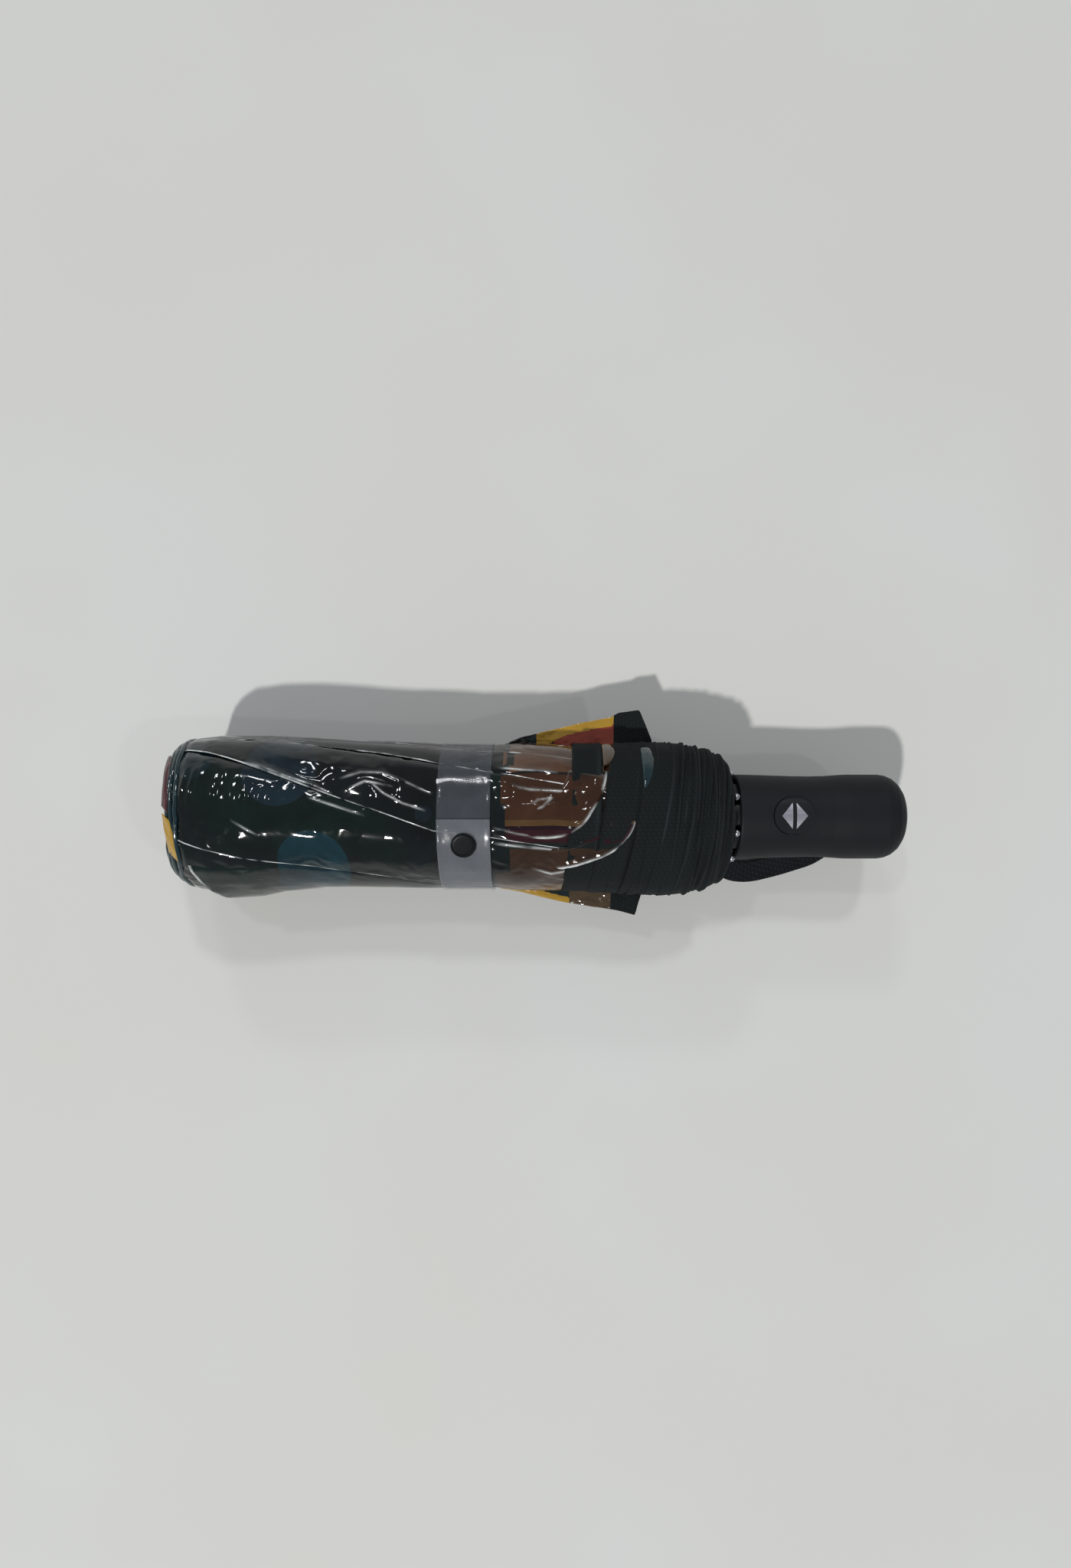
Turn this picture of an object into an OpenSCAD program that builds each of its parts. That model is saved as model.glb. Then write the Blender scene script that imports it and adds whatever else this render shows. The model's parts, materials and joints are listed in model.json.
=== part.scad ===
// Folding umbrella, closed and strapped: three-fold frame, three-part shaft, push-button handle.
// Millimetres. +X runs along the shaft towards the handle, +Z is up, the floor is z = 0.
// Each rib, stretcher, tube and control is a module of its own; set "node" to show one of them.

/* [Overall] */

// Length over everything, folded film to handle end
overall_length = 290; // [270:1:330]

// Radius of the rolled bundle
bundle_r = 29; // [27:0.5:36]

// How far the two loose hem corners stand out from the shaft
corner_reach = 40; // [36:1:46]

// Distance from the folded film's end to the rib pivots at the crown
crown_set_back = 21; // [18:1:26]

/* [Handle] */

// Length of the grip
grip_length = 65.5; // [60:0.5:80]

// Largest radius of the grip
grip_r = 16.6; // [16:0.1:19]

// Radius of the grip at its waist
grip_waist_r = 15.9; // [15.8:0.1:18]

// Wall of the grip
grip_wall = 1.8; // [1.2:0.1:2.2]

// Radius of the flat disc on the grip's end
grip_flat_r = 8; // [5:0.5:12]

// Length of the push button
button_length = 15.4; // [12:0.2:18]

// Width of the push button
button_width = 13.8; // [10:0.2:15]

// How far the button goes in
button_travel = 2.5; // [1.5:0.1:2.8]

/* [Shaft] */

// Radius of the outermost tube, which carries the crown
tube_r = 7; // [6.6:0.1:7.1]

// Wall of each tube
tube_wall = 0.6; // [0.4:0.05:0.8]

// Radial running clearance between tubes, and between shaft and runner
run_gap = 0.1; // [0.05:0.01:0.1]

/* [Frame] */

// Height of the rib pivots over the outermost tube
pivot_height = 3; // [2.8:0.1:4]

// How far short of the grip's mouth the rib tips lie when closed
tip_set_back = 0.5; // [0.3:0.1:4]

// How far short of the grip's mouth the inner ribs end when closed
inner_set_back = 21.5; // [20:0.5:40]

// How much shorter a middle rib is than an inner rib
middle_set_back = 6; // [5:0.5:12]

// How far short of the inner ribs' ends the runner's pins rest when closed
runner_set_back = 6; // [5:0.5:12]

// Width of the inner and outer ribs
rib_w = 4; // [3.6:0.1:4.1]

// Metal thickness of the ribs
rib_wall = 0.45; // [0.3:0.05:0.5]

// Pin radius at the crown
crown_pin_r = 0.8; // [0.6:0.05:0.9]

// Pin radius at the rib joints
rib_pin_r = 0.7; // [0.5:0.05:0.8]

/* [Canopy] */

// Length of the rolled hem, from the first band to its narrow end
hem_length = 44; // [36:1:52]

// Height of the fold ridges over the roll
fold_h = 0.9; // [0.5:0.1:1.4]

/* [Closure strap] */

// Width of the closure strap
strap_w = 19.5; // [14:0.5:26]

// Distance from the strap's middle to the bundle's handle end
strap_set_back = 102; // [70:1:130]

// Thickness of the closure strap
strap_t = 0.5; // [0.4:0.1:0.8]

// Radius of the snap's cap
snap_r = 4.65; // [4:0.05:6]

/* [Wrist strap] */

// Width of the wrist tape
tape_w = 9; // [7:0.5:10]

// Thickness of the wrist tape
tape_t = 1.1; // [0.8:0.1:1.3]

/* [Hidden] */

$fn = 96;

ribs = 8;
rib_step = 360 / ribs;
first_rib = 21.5;          // degrees from straight up towards -Y
axis_h = bundle_r - 0.6;   // the soft bundle is pressed flat by this much
x_end = overall_length / 2;
x_crown = crown_set_back - x_end;
x_mouth = x_end - grip_length;
x_hem_end = x_mouth - 1.5;
x_hem = x_hem_end - hem_length;
x_strap = x_hem_end - strap_set_back;

// Shaft tubes, from the outermost inwards; a is the distance from the rib pivots along +X.
a_mouth = x_mouth - x_crown;
tube_2_r = tube_r - tube_wall - run_gap;
tube_3_r = tube_2_r - tube_wall - run_gap;
tube_1_len = a_mouth - 1.5;

// Rib lengths: each fits between the crown and the grip's mouth when closed.
inner_reach = a_mouth - inner_set_back;
middle_reach = inner_reach - middle_set_back;
joint_2_a = inner_reach - middle_reach;
tip_a = a_mouth - tip_set_back;
runner_a = inner_reach - runner_set_back;
stretcher_reach = runner_a / 2;

// Rib sections, as distances from the shaft's axis.
pivot_r = tube_r + pivot_height;
slot_w = rib_w + 0.4;
inner_in = pivot_r - 1.2;
inner_out = pivot_r + 1.6;
joint_1_r = pivot_r + 2.3;
joint_2_r = pivot_r + 6.4;
middle_w = rib_w - 2 * rib_wall - 0.2;
middle_in = joint_1_r + 0.7;
middle_out = middle_in + 3;
outer_in = joint_2_r + 0.4;
outer_out = outer_in + 1.9;
stretcher_w = middle_w - 0.7;
film_in = outer_out + 0.25;
roll_in = film_in + 0.45;

// Runner, where it rests when the umbrella is closed. Its collar fits the grip's bore and the rib tips.
collar_a = a_mouth - 9.5;
collar_len = 11;
sleeve_r = tube_r + run_gap + 1.2;
runner_end = a_mouth + 1.5;
collar_r = min(grip_r - grip_wall, outer_in) - 0.6;
flange_r = inner_out - 0.1;

// Closure strap rings, from the roll outwards.
roll_r = bundle_r;
strap_out = bundle_r - 0.1;
strap_in = strap_out - strap_t;
groove_r = strap_in - 0.3;
tab_in = strap_out + 0.3;
tab_out = tab_in + strap_t;
tab_hinge_r = (tab_in + tab_out) / 2;
tab_hinge_az = first_rib + rib_step;
tab_edge_az = 3;

// Push button.
x_button = x_mouth + 20;
z_seat = axis_h + tube_3_r + 1.6;
z_button = z_seat + button_travel + 0.5;

// Wrist tape: the middle of the tape from its sewn end, round the loop and back.
tape_x = x_mouth - 79.5;
tape_route = [
  [117, 0, 11.2], [108, 0, 10.8], [98, 0, 10.6], [89, 0, 10.4], [85, 0, 9.0], [87, 0, 7.4], [95, 1, 7.2],
  [105, 2, 7.2], [114, 2, 7.0], [118, 2, 5.6], [114, 2, 4.3], [105, 3, 4.1], [96, 3, 3.8], [88, 1, 3.2],
  [81, -4, 2.2], [77.5, -11, 1.4], [79, -18, 1.2], [84.5, -22.2, 1.2], [92, -23, 1.2], [101, -21.2, 1.2],
  [110, -18.6, 1.2], [119, -15.4, 1.2], [126, -10, 1.2], [128, -2.5, 1.2], [124, 4, 1.2], [116, 7, 1.2],
  [107, 7, 1.2], [98, 6.4, 1.2]
];

nodes_single = [
  "handle_grip", "handle_core", "lower_tube", "wrist_strap", "button", "button_spring", "middle_tube",
  "upper_tube", "crown", "top_cap", "canopy_wrap", "canopy_hem", "hem_corner_left", "hem_corner_right",
  "runner", "strap", "snap_socket", "strap_tab", "snap_cap"
];
film_ribs = [1, 4, 7];

c_black = [0.11, 0.12, 0.14];
c_steel = [0.72, 0.73, 0.75];
c_film = [0.10, 0.16, 0.17];
c_clear = [0.55, 0.60, 0.63];

// ---- helpers -------------------------------------------------------------

// Puts a shape whose axis is X onto the shaft, at a distance from the rib pivots.
module on_shaft(a = 0) { translate([x_crown + a, 0, axis_h]) children(); }

// A ring or disc about the shaft's axis.
module along(a0, len, r, r2 = -1) {
  on_shaft(a0) rotate([0, 90, 0]) cylinder(h = len, r1 = r, r2 = r2 < 0 ? r : r2);
}

// Turns a shape made in the plane of one rib to that rib's azimuth.
module at_rib(i) { on_shaft() rotate([first_rib + rib_step * (i - 1), 0, 0]) children(); }

// A pin across a rib, at a and r.
module cross_pin(a, r, pin_r, w) {
  translate([a, -w / 2, r]) rotate([-90, 0, 0]) cylinder(h = w, r = pin_r, $fn = 32);
}

// A flat bar in the plane of a rib.
module bar(a0, a1, w, r0, r1) { translate([a0, -w / 2, r0]) cube([a1 - a0, w, r1 - r0]); }

// The half-space above a height, for pressing soft pieces flat on the floor.
module above(z, x0, x1) { translate([x0, -60, z]) cube([x1 - x0, 120, 90]); }

// A shape spun about the shaft; its profile is given as [radius, a].
module spun(profile) { on_shaft() rotate([0, 90, 0]) rotate_extrude() polygon(profile); }

module oval(len, w, h) {
  linear_extrude(h) {
    translate([-(len - w) / 2, 0]) circle(d = w);
    translate([(len - w) / 2, 0]) circle(d = w);
    square([len - w, w], center = true);
  }
}

// A smooth line through points, and its directions.
function through(p, i, t) =
  let (n = len(p), a = p[max(i - 1, 0)], b = p[i], c = p[min(i + 1, n - 1)], d = p[min(i + 2, n - 1)])
  0.5 * (2 * b + (c - a) * t + (2 * a - 5 * b + 4 * c - d) * t * t + (3 * b - a - 3 * c + d) * t * t * t);
function line_of(p, steps) = concat(
  [for (i = [0:len(p) - 2], k = [0:steps - 1]) through(p, i, k / steps)], [p[len(p) - 1]]);
function unit(v) = v / norm(v);
function ways(q) = [for (i = [0:len(q) - 1]) unit(q[min(i + 1, len(q) - 1)] - q[max(i - 1, 0)])];
function carried(w, t) = unit(w - t * (w * t));

// Sweeps a flat or round section, given as [across, up] points, along a line of points.
module swept(q, section, side) {
  t = ways(q);
  w = [for (i = 0, v = carried(side, t[0]); i < len(q); i = i + 1, v = carried(v, t[min(i, len(q) - 1)])) v];
  m = len(section);
  rings = [for (i = [0:len(q) - 1], s = section) q[i] + w[i] * s[0] + cross(t[i], w[i]) * s[1]];
  walls = [for (i = [0:len(q) - 2], k = [0:m - 1])
    each [[i * m + k, i * m + (k + 1) % m, (i + 1) * m + (k + 1) % m],
          [i * m + k, (i + 1) * m + (k + 1) % m, (i + 1) * m + k]]];
  polyhedron(points = rings, faces = concat(
    [[for (k = [m - 1:-1:0]) k]], walls, [[for (k = [0:m - 1]) (len(q) - 1) * m + k]]), convexity = 10);
}

// ---- handle --------------------------------------------------------------

module handle_grip() {
  color(c_black) difference() {
    translate([x_mouth, 0, axis_h]) rotate([0, 90, 0]) rotate_extrude() polygon([
      [0, 0], [grip_r - 0.8, 0], [grip_r - 0.2, 0.3], [grip_r, 1], [grip_r, 3],
      [grip_r - 0.25 * (grip_r - grip_waist_r), 10], [grip_waist_r + 0.1, 22], [grip_waist_r, 30],
      [grip_waist_r + 0.15, 36], [grip_r - 0.1, 42], [grip_r, 44.5], [grip_r, grip_length - 9],
      [grip_r - 0.35, grip_length - 6.6], [grip_r - 1.2, grip_length - 4.5],
      [grip_r - 2.7, grip_length - 2.6],
      [grip_r - 4.6, grip_length - 1.2], [grip_r - 6.6, grip_length - 0.35], [grip_flat_r, grip_length],
      [0, grip_length]
    ]);
    translate([x_mouth - 1, 0, axis_h]) rotate([0, 90, 0])
      cylinder(h = grip_length - 8, r = grip_r - grip_wall);
    translate([x_button, 0, axis_h]) oval(button_length + 0.3, button_width + 0.3, 30);
    // Slot where the wrist tape is sewn in.
    translate([x_mouth + 36, -tape_w / 2 - 0.5, axis_h - grip_r - 1]) cube([3, tape_w + 1, 2.6]);
  }
}

module handle_core() {
  color(c_black) difference() {
    union() {
      translate([x_mouth + 5, 0, axis_h]) rotate([0, 90, 0]) cylinder(h = 3, r = grip_r - grip_wall - 0.1);
      translate([x_mouth + 33, 0, axis_h]) rotate([0, 90, 0]) cylinder(h = 23, r = grip_r - grip_wall - 0.1);
      translate([x_mouth + 5, 0, axis_h]) rotate([0, 90, 0]) cylinder(h = 51, r = tube_3_r + 1.5);
      translate([x_button - 6, -5, axis_h]) cube([12, 10, z_seat - axis_h]);
    }
    translate([x_mouth, 0, axis_h]) rotate([0, 90, 0]) cylinder(h = 60, r = tube_3_r);
  }
}

module button() {
  color(c_black) difference() {
    intersection() {
      union() {
        translate([x_button, 0, z_button]) oval(button_length, button_width, 12);
        intersection() {
          translate([x_button, 0, z_button]) oval(button_length + 2.4, button_width + 1.4, 1.6);
          translate([x_button - 15, 0, axis_h]) rotate([0, 90, 0])
            cylinder(h = 30, r = grip_r - grip_wall - 0.3);
        }
      }
      translate([x_button - 15, 0, axis_h]) rotate([0, 90, 0]) cylinder(h = 30, r = grip_r + 0.5);
    }
    translate([x_button, 0, z_button - 1]) cylinder(h = 2.4, r = 3.4);
  }
}

module button_spring() {
  turns = 4;
  h = z_button + 1.4 - z_seat - 0.7;
  q = [for (i = [0:12 * turns])
    [x_button + 2.7 * cos(i * 30), 2.7 * sin(i * 30), z_seat + 0.35 + h * i / (12 * turns)]];
  color(c_steel) swept(q, [for (k = [0:7]) 0.3 * [cos(k * 45), sin(k * 45)]], [1, 0, 0]);
}

module wrist_strap() {
  w = tape_w / 2;
  t = tape_t / 2;
  section = [
    [w, -t * 0.6], [w, t * 0.6], [w - 0.5, t], [-w + 0.5, t],
    [-w, t * 0.6], [-w, -t * 0.6], [-w + 0.5, -t], [w - 0.5, -t]
  ];
  color(c_black) swept([for (p = line_of(tape_route, 3)) p + [tape_x, 0, 0]], section, [0, 1, 0]);
}

// ---- shaft ---------------------------------------------------------------

module lower_tube() {
  color(c_steel) difference() {
    along(12, a_mouth + 44, tube_3_r);
    along(11, a_mouth + 46, tube_3_r - tube_wall);
  }
}

module middle_tube() {
  color(c_steel) difference() {
    along(6, a_mouth - 5, tube_2_r);
    along(5, a_mouth - 3, tube_2_r - tube_wall);
  }
}

module upper_tube() {
  color(c_black) difference() {
    along(-4, tube_1_len + 4, tube_r);
    along(-5, tube_1_len + 6, tube_r - tube_wall);
  }
}

module crown() {
  color(c_black) {
    difference() {
      along(-5, 8.5, inner_out + 0.6);
      along(-6, 11, tube_r + 0.05);
      for (i = [1:ribs]) at_rib(i) bar(-3.2, 4, slot_w, pivot_r - 2.3, inner_out + 2);
    }
    for (i = [1:ribs]) at_rib(i) cross_pin(0, pivot_r, crown_pin_r, slot_w + 1);
  }
}

module top_cap() {
  color(c_black) spun([[0, -5.1], [9.5, -5.1], [9.5, -6.6], [8, -8.2], [5, -9.6], [0, -10.4]]);
}

module runner() {
  color(c_black) difference() {
    union() {
      along(runner_a - 6, runner_end - runner_a + 6, sleeve_r);
      along(runner_a - 3, 6, flange_r);
      along(collar_a, collar_len, collar_r);
    }
    along(runner_a - 8, runner_end - runner_a + 16, tube_r + run_gap);
    for (i = [1:ribs]) at_rib(i) {
      bar(runner_a - 4, runner_a + 4, slot_w, sleeve_r, flange_r + 3);
      bar(collar_a - 1, collar_a + collar_len + 1, 3, sleeve_r, collar_r + 3);
    }
  }
}

// ---- ribs ----------------------------------------------------------------

module inner_rib(i) {
  color(c_steel) at_rib(i) {
    difference() {
      union() {
        bar(-1.6, inner_reach - 4, rib_w, inner_in, inner_out);
        bar(inner_reach - 4, inner_reach + 0.6, rib_w, inner_in + 0.6, joint_1_r);
        cross_pin(inner_reach, joint_1_r, 1.3, rib_w);
      }
      bar(-3, inner_reach + 3, rib_w - 2 * rib_wall, inner_in - 1, inner_out - rib_wall);
      bar(inner_reach - 4, inner_reach + 3, rib_w - 2 * rib_wall, inner_in - 1, inner_out + 4);
      cross_pin(0, pivot_r, crown_pin_r + 0.05, rib_w + 2);
    }
    cross_pin(inner_reach, joint_1_r, rib_pin_r, rib_w - rib_wall);
    cross_pin(stretcher_reach, pivot_r, rib_pin_r, rib_w - rib_wall);
  }
}

module stretcher(i) {
  color(c_steel) at_rib(i) difference() {
    union() {
      bar(stretcher_reach, runner_a, stretcher_w, pivot_r - 0.95, pivot_r + 0.85);
      cross_pin(stretcher_reach, pivot_r, 1.05, stretcher_w);
      cross_pin(runner_a, pivot_r, 1.05, stretcher_w);
    }
    cross_pin(stretcher_reach, pivot_r, rib_pin_r + 0.05, stretcher_w + 2);
  }
}

module middle_rib(i) {
  inside = middle_w - 2 * rib_wall;
  color(c_steel) at_rib(i) {
    difference() {
      union() {
        bar(joint_2_a + 3, inner_reach - 3.5, middle_w, middle_in, middle_out);
        bar(joint_2_a - 0.2, joint_2_a + 6, middle_w, middle_in + 1, joint_2_r);
        bar(inner_reach - 6, inner_reach + 0.2, middle_w, joint_1_r, middle_out - 1);
        cross_pin(inner_reach, joint_1_r, 1.2, middle_w);
        cross_pin(joint_2_a, joint_2_r, 1.2, middle_w);
      }
      bar(-3, inner_reach + 9, inside, middle_in + rib_wall, middle_out + 4);
      bar(-3, joint_2_a + 3, inside, middle_in - 4, middle_out + 4);
      bar(inner_reach - 3.5, inner_reach + 9, inside, middle_in - 4, middle_out + 4);
      cross_pin(inner_reach, joint_1_r, rib_pin_r + 0.05, middle_w + 2);
    }
    cross_pin(joint_2_a, joint_2_r, rib_pin_r, rib_w - rib_wall);
  }
}

module outer_rib(i) {
  color(c_steel) at_rib(i) {
    difference() {
      union() {
        bar(joint_2_a + 3.6, tip_a - 4, rib_w, outer_in, outer_out);
        bar(joint_2_a - 0.4, joint_2_a + 6, rib_w, joint_2_r, outer_out - 0.6);
        cross_pin(joint_2_a, joint_2_r, 1.3, rib_w);
      }
      bar(-5, joint_2_a + 3.6, rib_w - 2 * rib_wall, outer_in - 3, outer_out + 3);
      bar(-5, tip_a - 6, rib_w - 2 * rib_wall, outer_in - 3, outer_out - rib_wall);
      cross_pin(joint_2_a, joint_2_r, rib_pin_r + 0.05, rib_w + 2);
    }
    translate([tip_a - 1.3, 0, outer_in + 0.95]) sphere(r = 1.3, $fn = 32);
    translate([tip_a - 5, 0, outer_in + 0.95]) rotate([0, 90, 0]) cylinder(h = 4, r = 0.7, $fn = 32);
  }
}

module film_strip(i, a0, a1, r) { color(c_film) at_rib(i) bar(a0, a1, 2.4, r, r + 0.2); }
module film_inner(i) { film_strip(i, 6, inner_reach - 6, inner_out + 0.3); }
module film_middle(i) { film_strip(i, joint_2_a + 5, inner_reach - 7, middle_in - 0.5); }
module film_outer(i) { film_strip(i, joint_2_a + 3, tip_a - 6, film_in); }

// ---- rolled canopy -------------------------------------------------------

module canopy_wrap() {
  a_hem = x_hem - x_crown - 0.3;
  a_strap = x_strap - x_crown;
  g = strap_w / 2 + 0.5;
  color(c_film) difference() {
    intersection() {
      spun([
        [11.5, -crown_set_back], [16, -crown_set_back], [18.5, 3.5 - crown_set_back],
        [24.5, 7 - crown_set_back], [27, 10 - crown_set_back], [28.2, 18 - crown_set_back],
        [roll_r, 30 - crown_set_back], [roll_r, a_strap - g - 1], [groove_r, a_strap - g],
        [groove_r, a_strap + g], [roll_r, a_strap + g + 1], [roll_r, a_hem],
        [roll_in, a_hem], [roll_in, -8.5], [11.5, -12]
      ]);
      union() {
        above(0, -x_end - 1, x_strap - g - 0.4);
        above(axis_h - groove_r + 0.4, x_strap - g - 0.5, x_strap + g + 0.5);
        above(0, x_strap + g + 0.4, x_end);
      }
    }
    // Pocket behind the snap.
    at_rib(1) translate([a_strap, 0, groove_r - 2]) cylinder(h = 9, r = snap_r - 0.35);
  }
}

module canopy_hem() {
  a0 = x_hem - x_crown;
  a1 = x_hem_end - x_crown;
  color(c_black) intersection() {
    spun([
      [roll_in, a0], [roll_r, a0], [roll_r, a0 + 8.5], [roll_r - 0.7, a0 + 9], [roll_r - 0.7, a0 + 9.8],
      [roll_r, a0 + 10.3], [roll_r, a0 + 19], [roll_r - 0.7, a0 + 19.5], [roll_r - 0.7, a0 + 20.3],
      [roll_r - 0.1, a0 + 20.8], [roll_r - 1.2, a0 + 28], [roll_r - 3.4, a0 + 32], [roll_r - 5.4, a1 - 8],
      [roll_r - 7, a1 - 4], [roll_in + 0.9, a1], [roll_in, a1]
    ]);
    above(0, x_hem - 1, x_hem_end + 1);
  }
}

// Loose corner of the hem that stands out beside the roll.
module hem_corner(side) {
  x0 = x_hem_end - 39;
  color(c_black) translate([0, 0, axis_h - 3]) linear_extrude(1.2)
    polygon([
      [x0, side * (roll_r + 0.1)], [x0 + 3.5, side * (corner_reach - 0.6)], [x0 + 6, side * corner_reach],
      [x0 + 8, side * (corner_reach - 1)], [x0 + 12, side * (roll_r + 0.1)]
    ]);
}
module hem_corner_left() { hem_corner(1); }
module hem_corner_right() { hem_corner(-1); }

// ---- closure strap -------------------------------------------------------

module strap() {
  color(c_clear) difference() {
    intersection() {
      along(x_strap - x_crown - strap_w / 2, strap_w, strap_out);
      above(0, x_strap - 20, x_strap + 20);
    }
    intersection() {
      along(x_strap - x_crown - strap_w, 2 * strap_w, strap_in);
      above(strap_t, x_strap - 40, x_strap + 40);
    }
    at_rib(1) translate([x_strap - x_crown, 0, groove_r - 3]) cylinder(h = 9, r = snap_r - 0.65);
  }
}

module snap_socket() {
  color(c_black) at_rib(1) translate([x_strap - x_crown, 0, groove_r - 0.7]) difference() {
    cylinder(h = strap_out - 0.25 - groove_r + 0.7, r = snap_r - 0.75);
    translate([0, 0, 0.5]) cylinder(h = 5, r = 2);
  }
}

module strap_tab() {
  color(c_clear) difference() {
    along(x_strap - x_crown - strap_w / 2, strap_w, tab_out);
    along(x_strap - x_crown - strap_w, 2 * strap_w, tab_in);
    // Keeps only the arc between the free edge and the bending line.
    on_shaft() rotate([tab_edge_az, 0, 0]) translate([-300, 0, -60]) cube([700, 120, 120]);
    on_shaft() rotate([tab_hinge_az, 0, 0]) translate([-300, -120, -60]) cube([700, 120, 120]);
    at_rib(1) translate([x_strap - x_crown, 0, tab_in - 2]) cylinder(h = 9, r = 1.55);
  }
}

module snap_cap() {
  color(c_black) at_rib(1) translate([x_strap - x_crown, 0, 0]) {
    translate([0, 0, tab_out + 0.25]) cylinder(h = 0.8, r = snap_r);
    translate([0, 0, tab_out + 1.05]) cylinder(h = 0.4, r1 = snap_r, r2 = snap_r - 0.9);
    translate([0, 0, strap_out - 0.4]) cylinder(h = tab_out - strap_out + 1, r = 1.5);
  }
}

// ---- what is shown -------------------------------------------------------

handle_grip();
handle_core();
lower_tube();
wrist_strap();
button();
button_spring();
middle_tube();
upper_tube();
crown();
top_cap();
canopy_wrap();
canopy_hem();
hem_corner_left();
hem_corner_right();
runner();
strap();
snap_socket();
strap_tab();
snap_cap();
for (i = [1:ribs]) inner_rib(i);
for (i = [1:ribs]) stretcher(i);
for (i = [1:ribs]) middle_rib(i);
for (i = [1:ribs]) outer_rib(i);
for (i = film_ribs) film_inner(i);
for (i = film_ribs) film_middle(i);
for (i = film_ribs) film_outer(i);
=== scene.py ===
import json
import math

import bmesh
import bpy
import numpy as np
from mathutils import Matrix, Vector, noise


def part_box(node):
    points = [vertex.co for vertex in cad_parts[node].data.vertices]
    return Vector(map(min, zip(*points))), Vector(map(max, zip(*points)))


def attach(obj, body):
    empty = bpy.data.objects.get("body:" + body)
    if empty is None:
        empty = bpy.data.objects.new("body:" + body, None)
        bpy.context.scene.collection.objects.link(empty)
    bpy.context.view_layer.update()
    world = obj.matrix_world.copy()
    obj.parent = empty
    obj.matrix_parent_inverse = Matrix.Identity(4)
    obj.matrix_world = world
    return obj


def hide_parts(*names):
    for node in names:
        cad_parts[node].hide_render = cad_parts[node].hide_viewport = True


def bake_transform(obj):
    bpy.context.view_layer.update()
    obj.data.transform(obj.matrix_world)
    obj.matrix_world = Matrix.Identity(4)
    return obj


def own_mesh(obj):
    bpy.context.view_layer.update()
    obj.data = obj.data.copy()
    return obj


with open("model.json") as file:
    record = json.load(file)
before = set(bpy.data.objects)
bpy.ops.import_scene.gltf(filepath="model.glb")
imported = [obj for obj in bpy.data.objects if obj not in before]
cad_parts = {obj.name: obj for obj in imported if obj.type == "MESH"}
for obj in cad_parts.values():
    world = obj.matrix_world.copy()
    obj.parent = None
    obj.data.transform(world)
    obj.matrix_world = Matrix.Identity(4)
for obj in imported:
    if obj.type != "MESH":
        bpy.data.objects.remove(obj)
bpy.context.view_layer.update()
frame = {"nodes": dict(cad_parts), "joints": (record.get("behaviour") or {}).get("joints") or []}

MM = 0.001
RIBS = 8
FIRST_RIB = 21.5  # degrees from straight up towards -Y
RIB_STEP = 360 / RIBS
FILM_X0 = -133.2  # mm, where the rolled film starts behind the crown
FILM_R = 28.5  # mm, the roll's usual radius, for lengths round it
TURN = 6.283  # a wave texture makes one wave in this length at scale 1
FOLD_R = 0.26  # mm, how sharply a pleat's free edge turns back
BAND_W = 11.8  # mm, width of the hem's binding
RING_R = 29  # mm, radius of a ring of binding before it is scaled


def middle(node):
    low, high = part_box(node)
    return (low + high) / 2


AXIS_Z = middle("lower_tube").z
HEM_X1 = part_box("canopy_hem")[1].x
STRAP_X0, STRAP_X1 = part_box("strap")[0].x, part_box("strap")[1].x
STRAP_X = (STRAP_X0 + STRAP_X1) / 2
hinge = {j["name"]: j for j in frame["joints"]}
CROWN_X = hinge["inner_rib_hinge_1"]["pos_m"][0]


# ---- colours and nodes ----

def srgb(code):
    """A hex colour as it is seen, turned to the linear values that a shader takes."""
    values = [int(code[i:i + 2], 16) / 255 for i in (1, 3, 5)]
    return tuple(v / 12.92 if v <= 0.04045 else ((v + 0.055) / 1.055) ** 2.4 for v in values) + (1.0,)


COLOUR = {"out": 2, "data_type": "RGBA"}  # how a mix node blends colours


def feed(node, inputs):
    """Gives each named socket of a node its link or its plain value."""
    for name, value in dict(inputs).items():
        if isinstance(value, bpy.types.NodeSocket):
            node.id_data.links.new(value, node.inputs[name])
        else:
            node.inputs[name].default_value = value


def adder(tree):
    """Gives the function that adds nodes to this tree."""
    def add(kind, inputs=(), out=0, stops=(), blocks=False, **settings):
        """Adds a node with its settings and links, and gives its output out, or itself if out is None.

        Inputs are {socket: link or value}, or a list in the order of the sockets. Stops are a ramp's
        (place, hex colour), and blocks leaves them hard-edged."""
        node = tree.nodes.new(kind if "Node" in kind else "ShaderNode" + kind)
        for name, value in settings.items():
            setattr(node, name, value)
        feed(node, dict(enumerate(inputs)) if isinstance(inputs, list) else inputs)
        for i, (place, colour) in enumerate(stops):
            spots = node.color_ramp.elements
            spot = spots[i] if i < len(spots) else spots.new(place)
            spot.position, spot.color = place, srgb(colour)
        if blocks:
            node.color_ramp.interpolation = "CONSTANT"
        return node if out is None else node.outputs[out]
    return add


def material(name, base, **uniform):
    """A principled surface with its uniform values on its own sockets.

    Gives the material, its add function, its shader and the object's coordinates."""
    m = bpy.data.materials.new(name)
    m.use_nodes = True
    shader = m.node_tree.nodes["Principled BSDF"]
    feed(shader, {"Base Color": srgb(base)})
    feed(shader, {k.replace("_", " ").title().replace("Ior", "IOR"): v for k, v in uniform.items()})
    add = adder(m.node_tree)
    return m, add, shader, add("TexCoord", out="Object")


# ---- finishes ----

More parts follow.
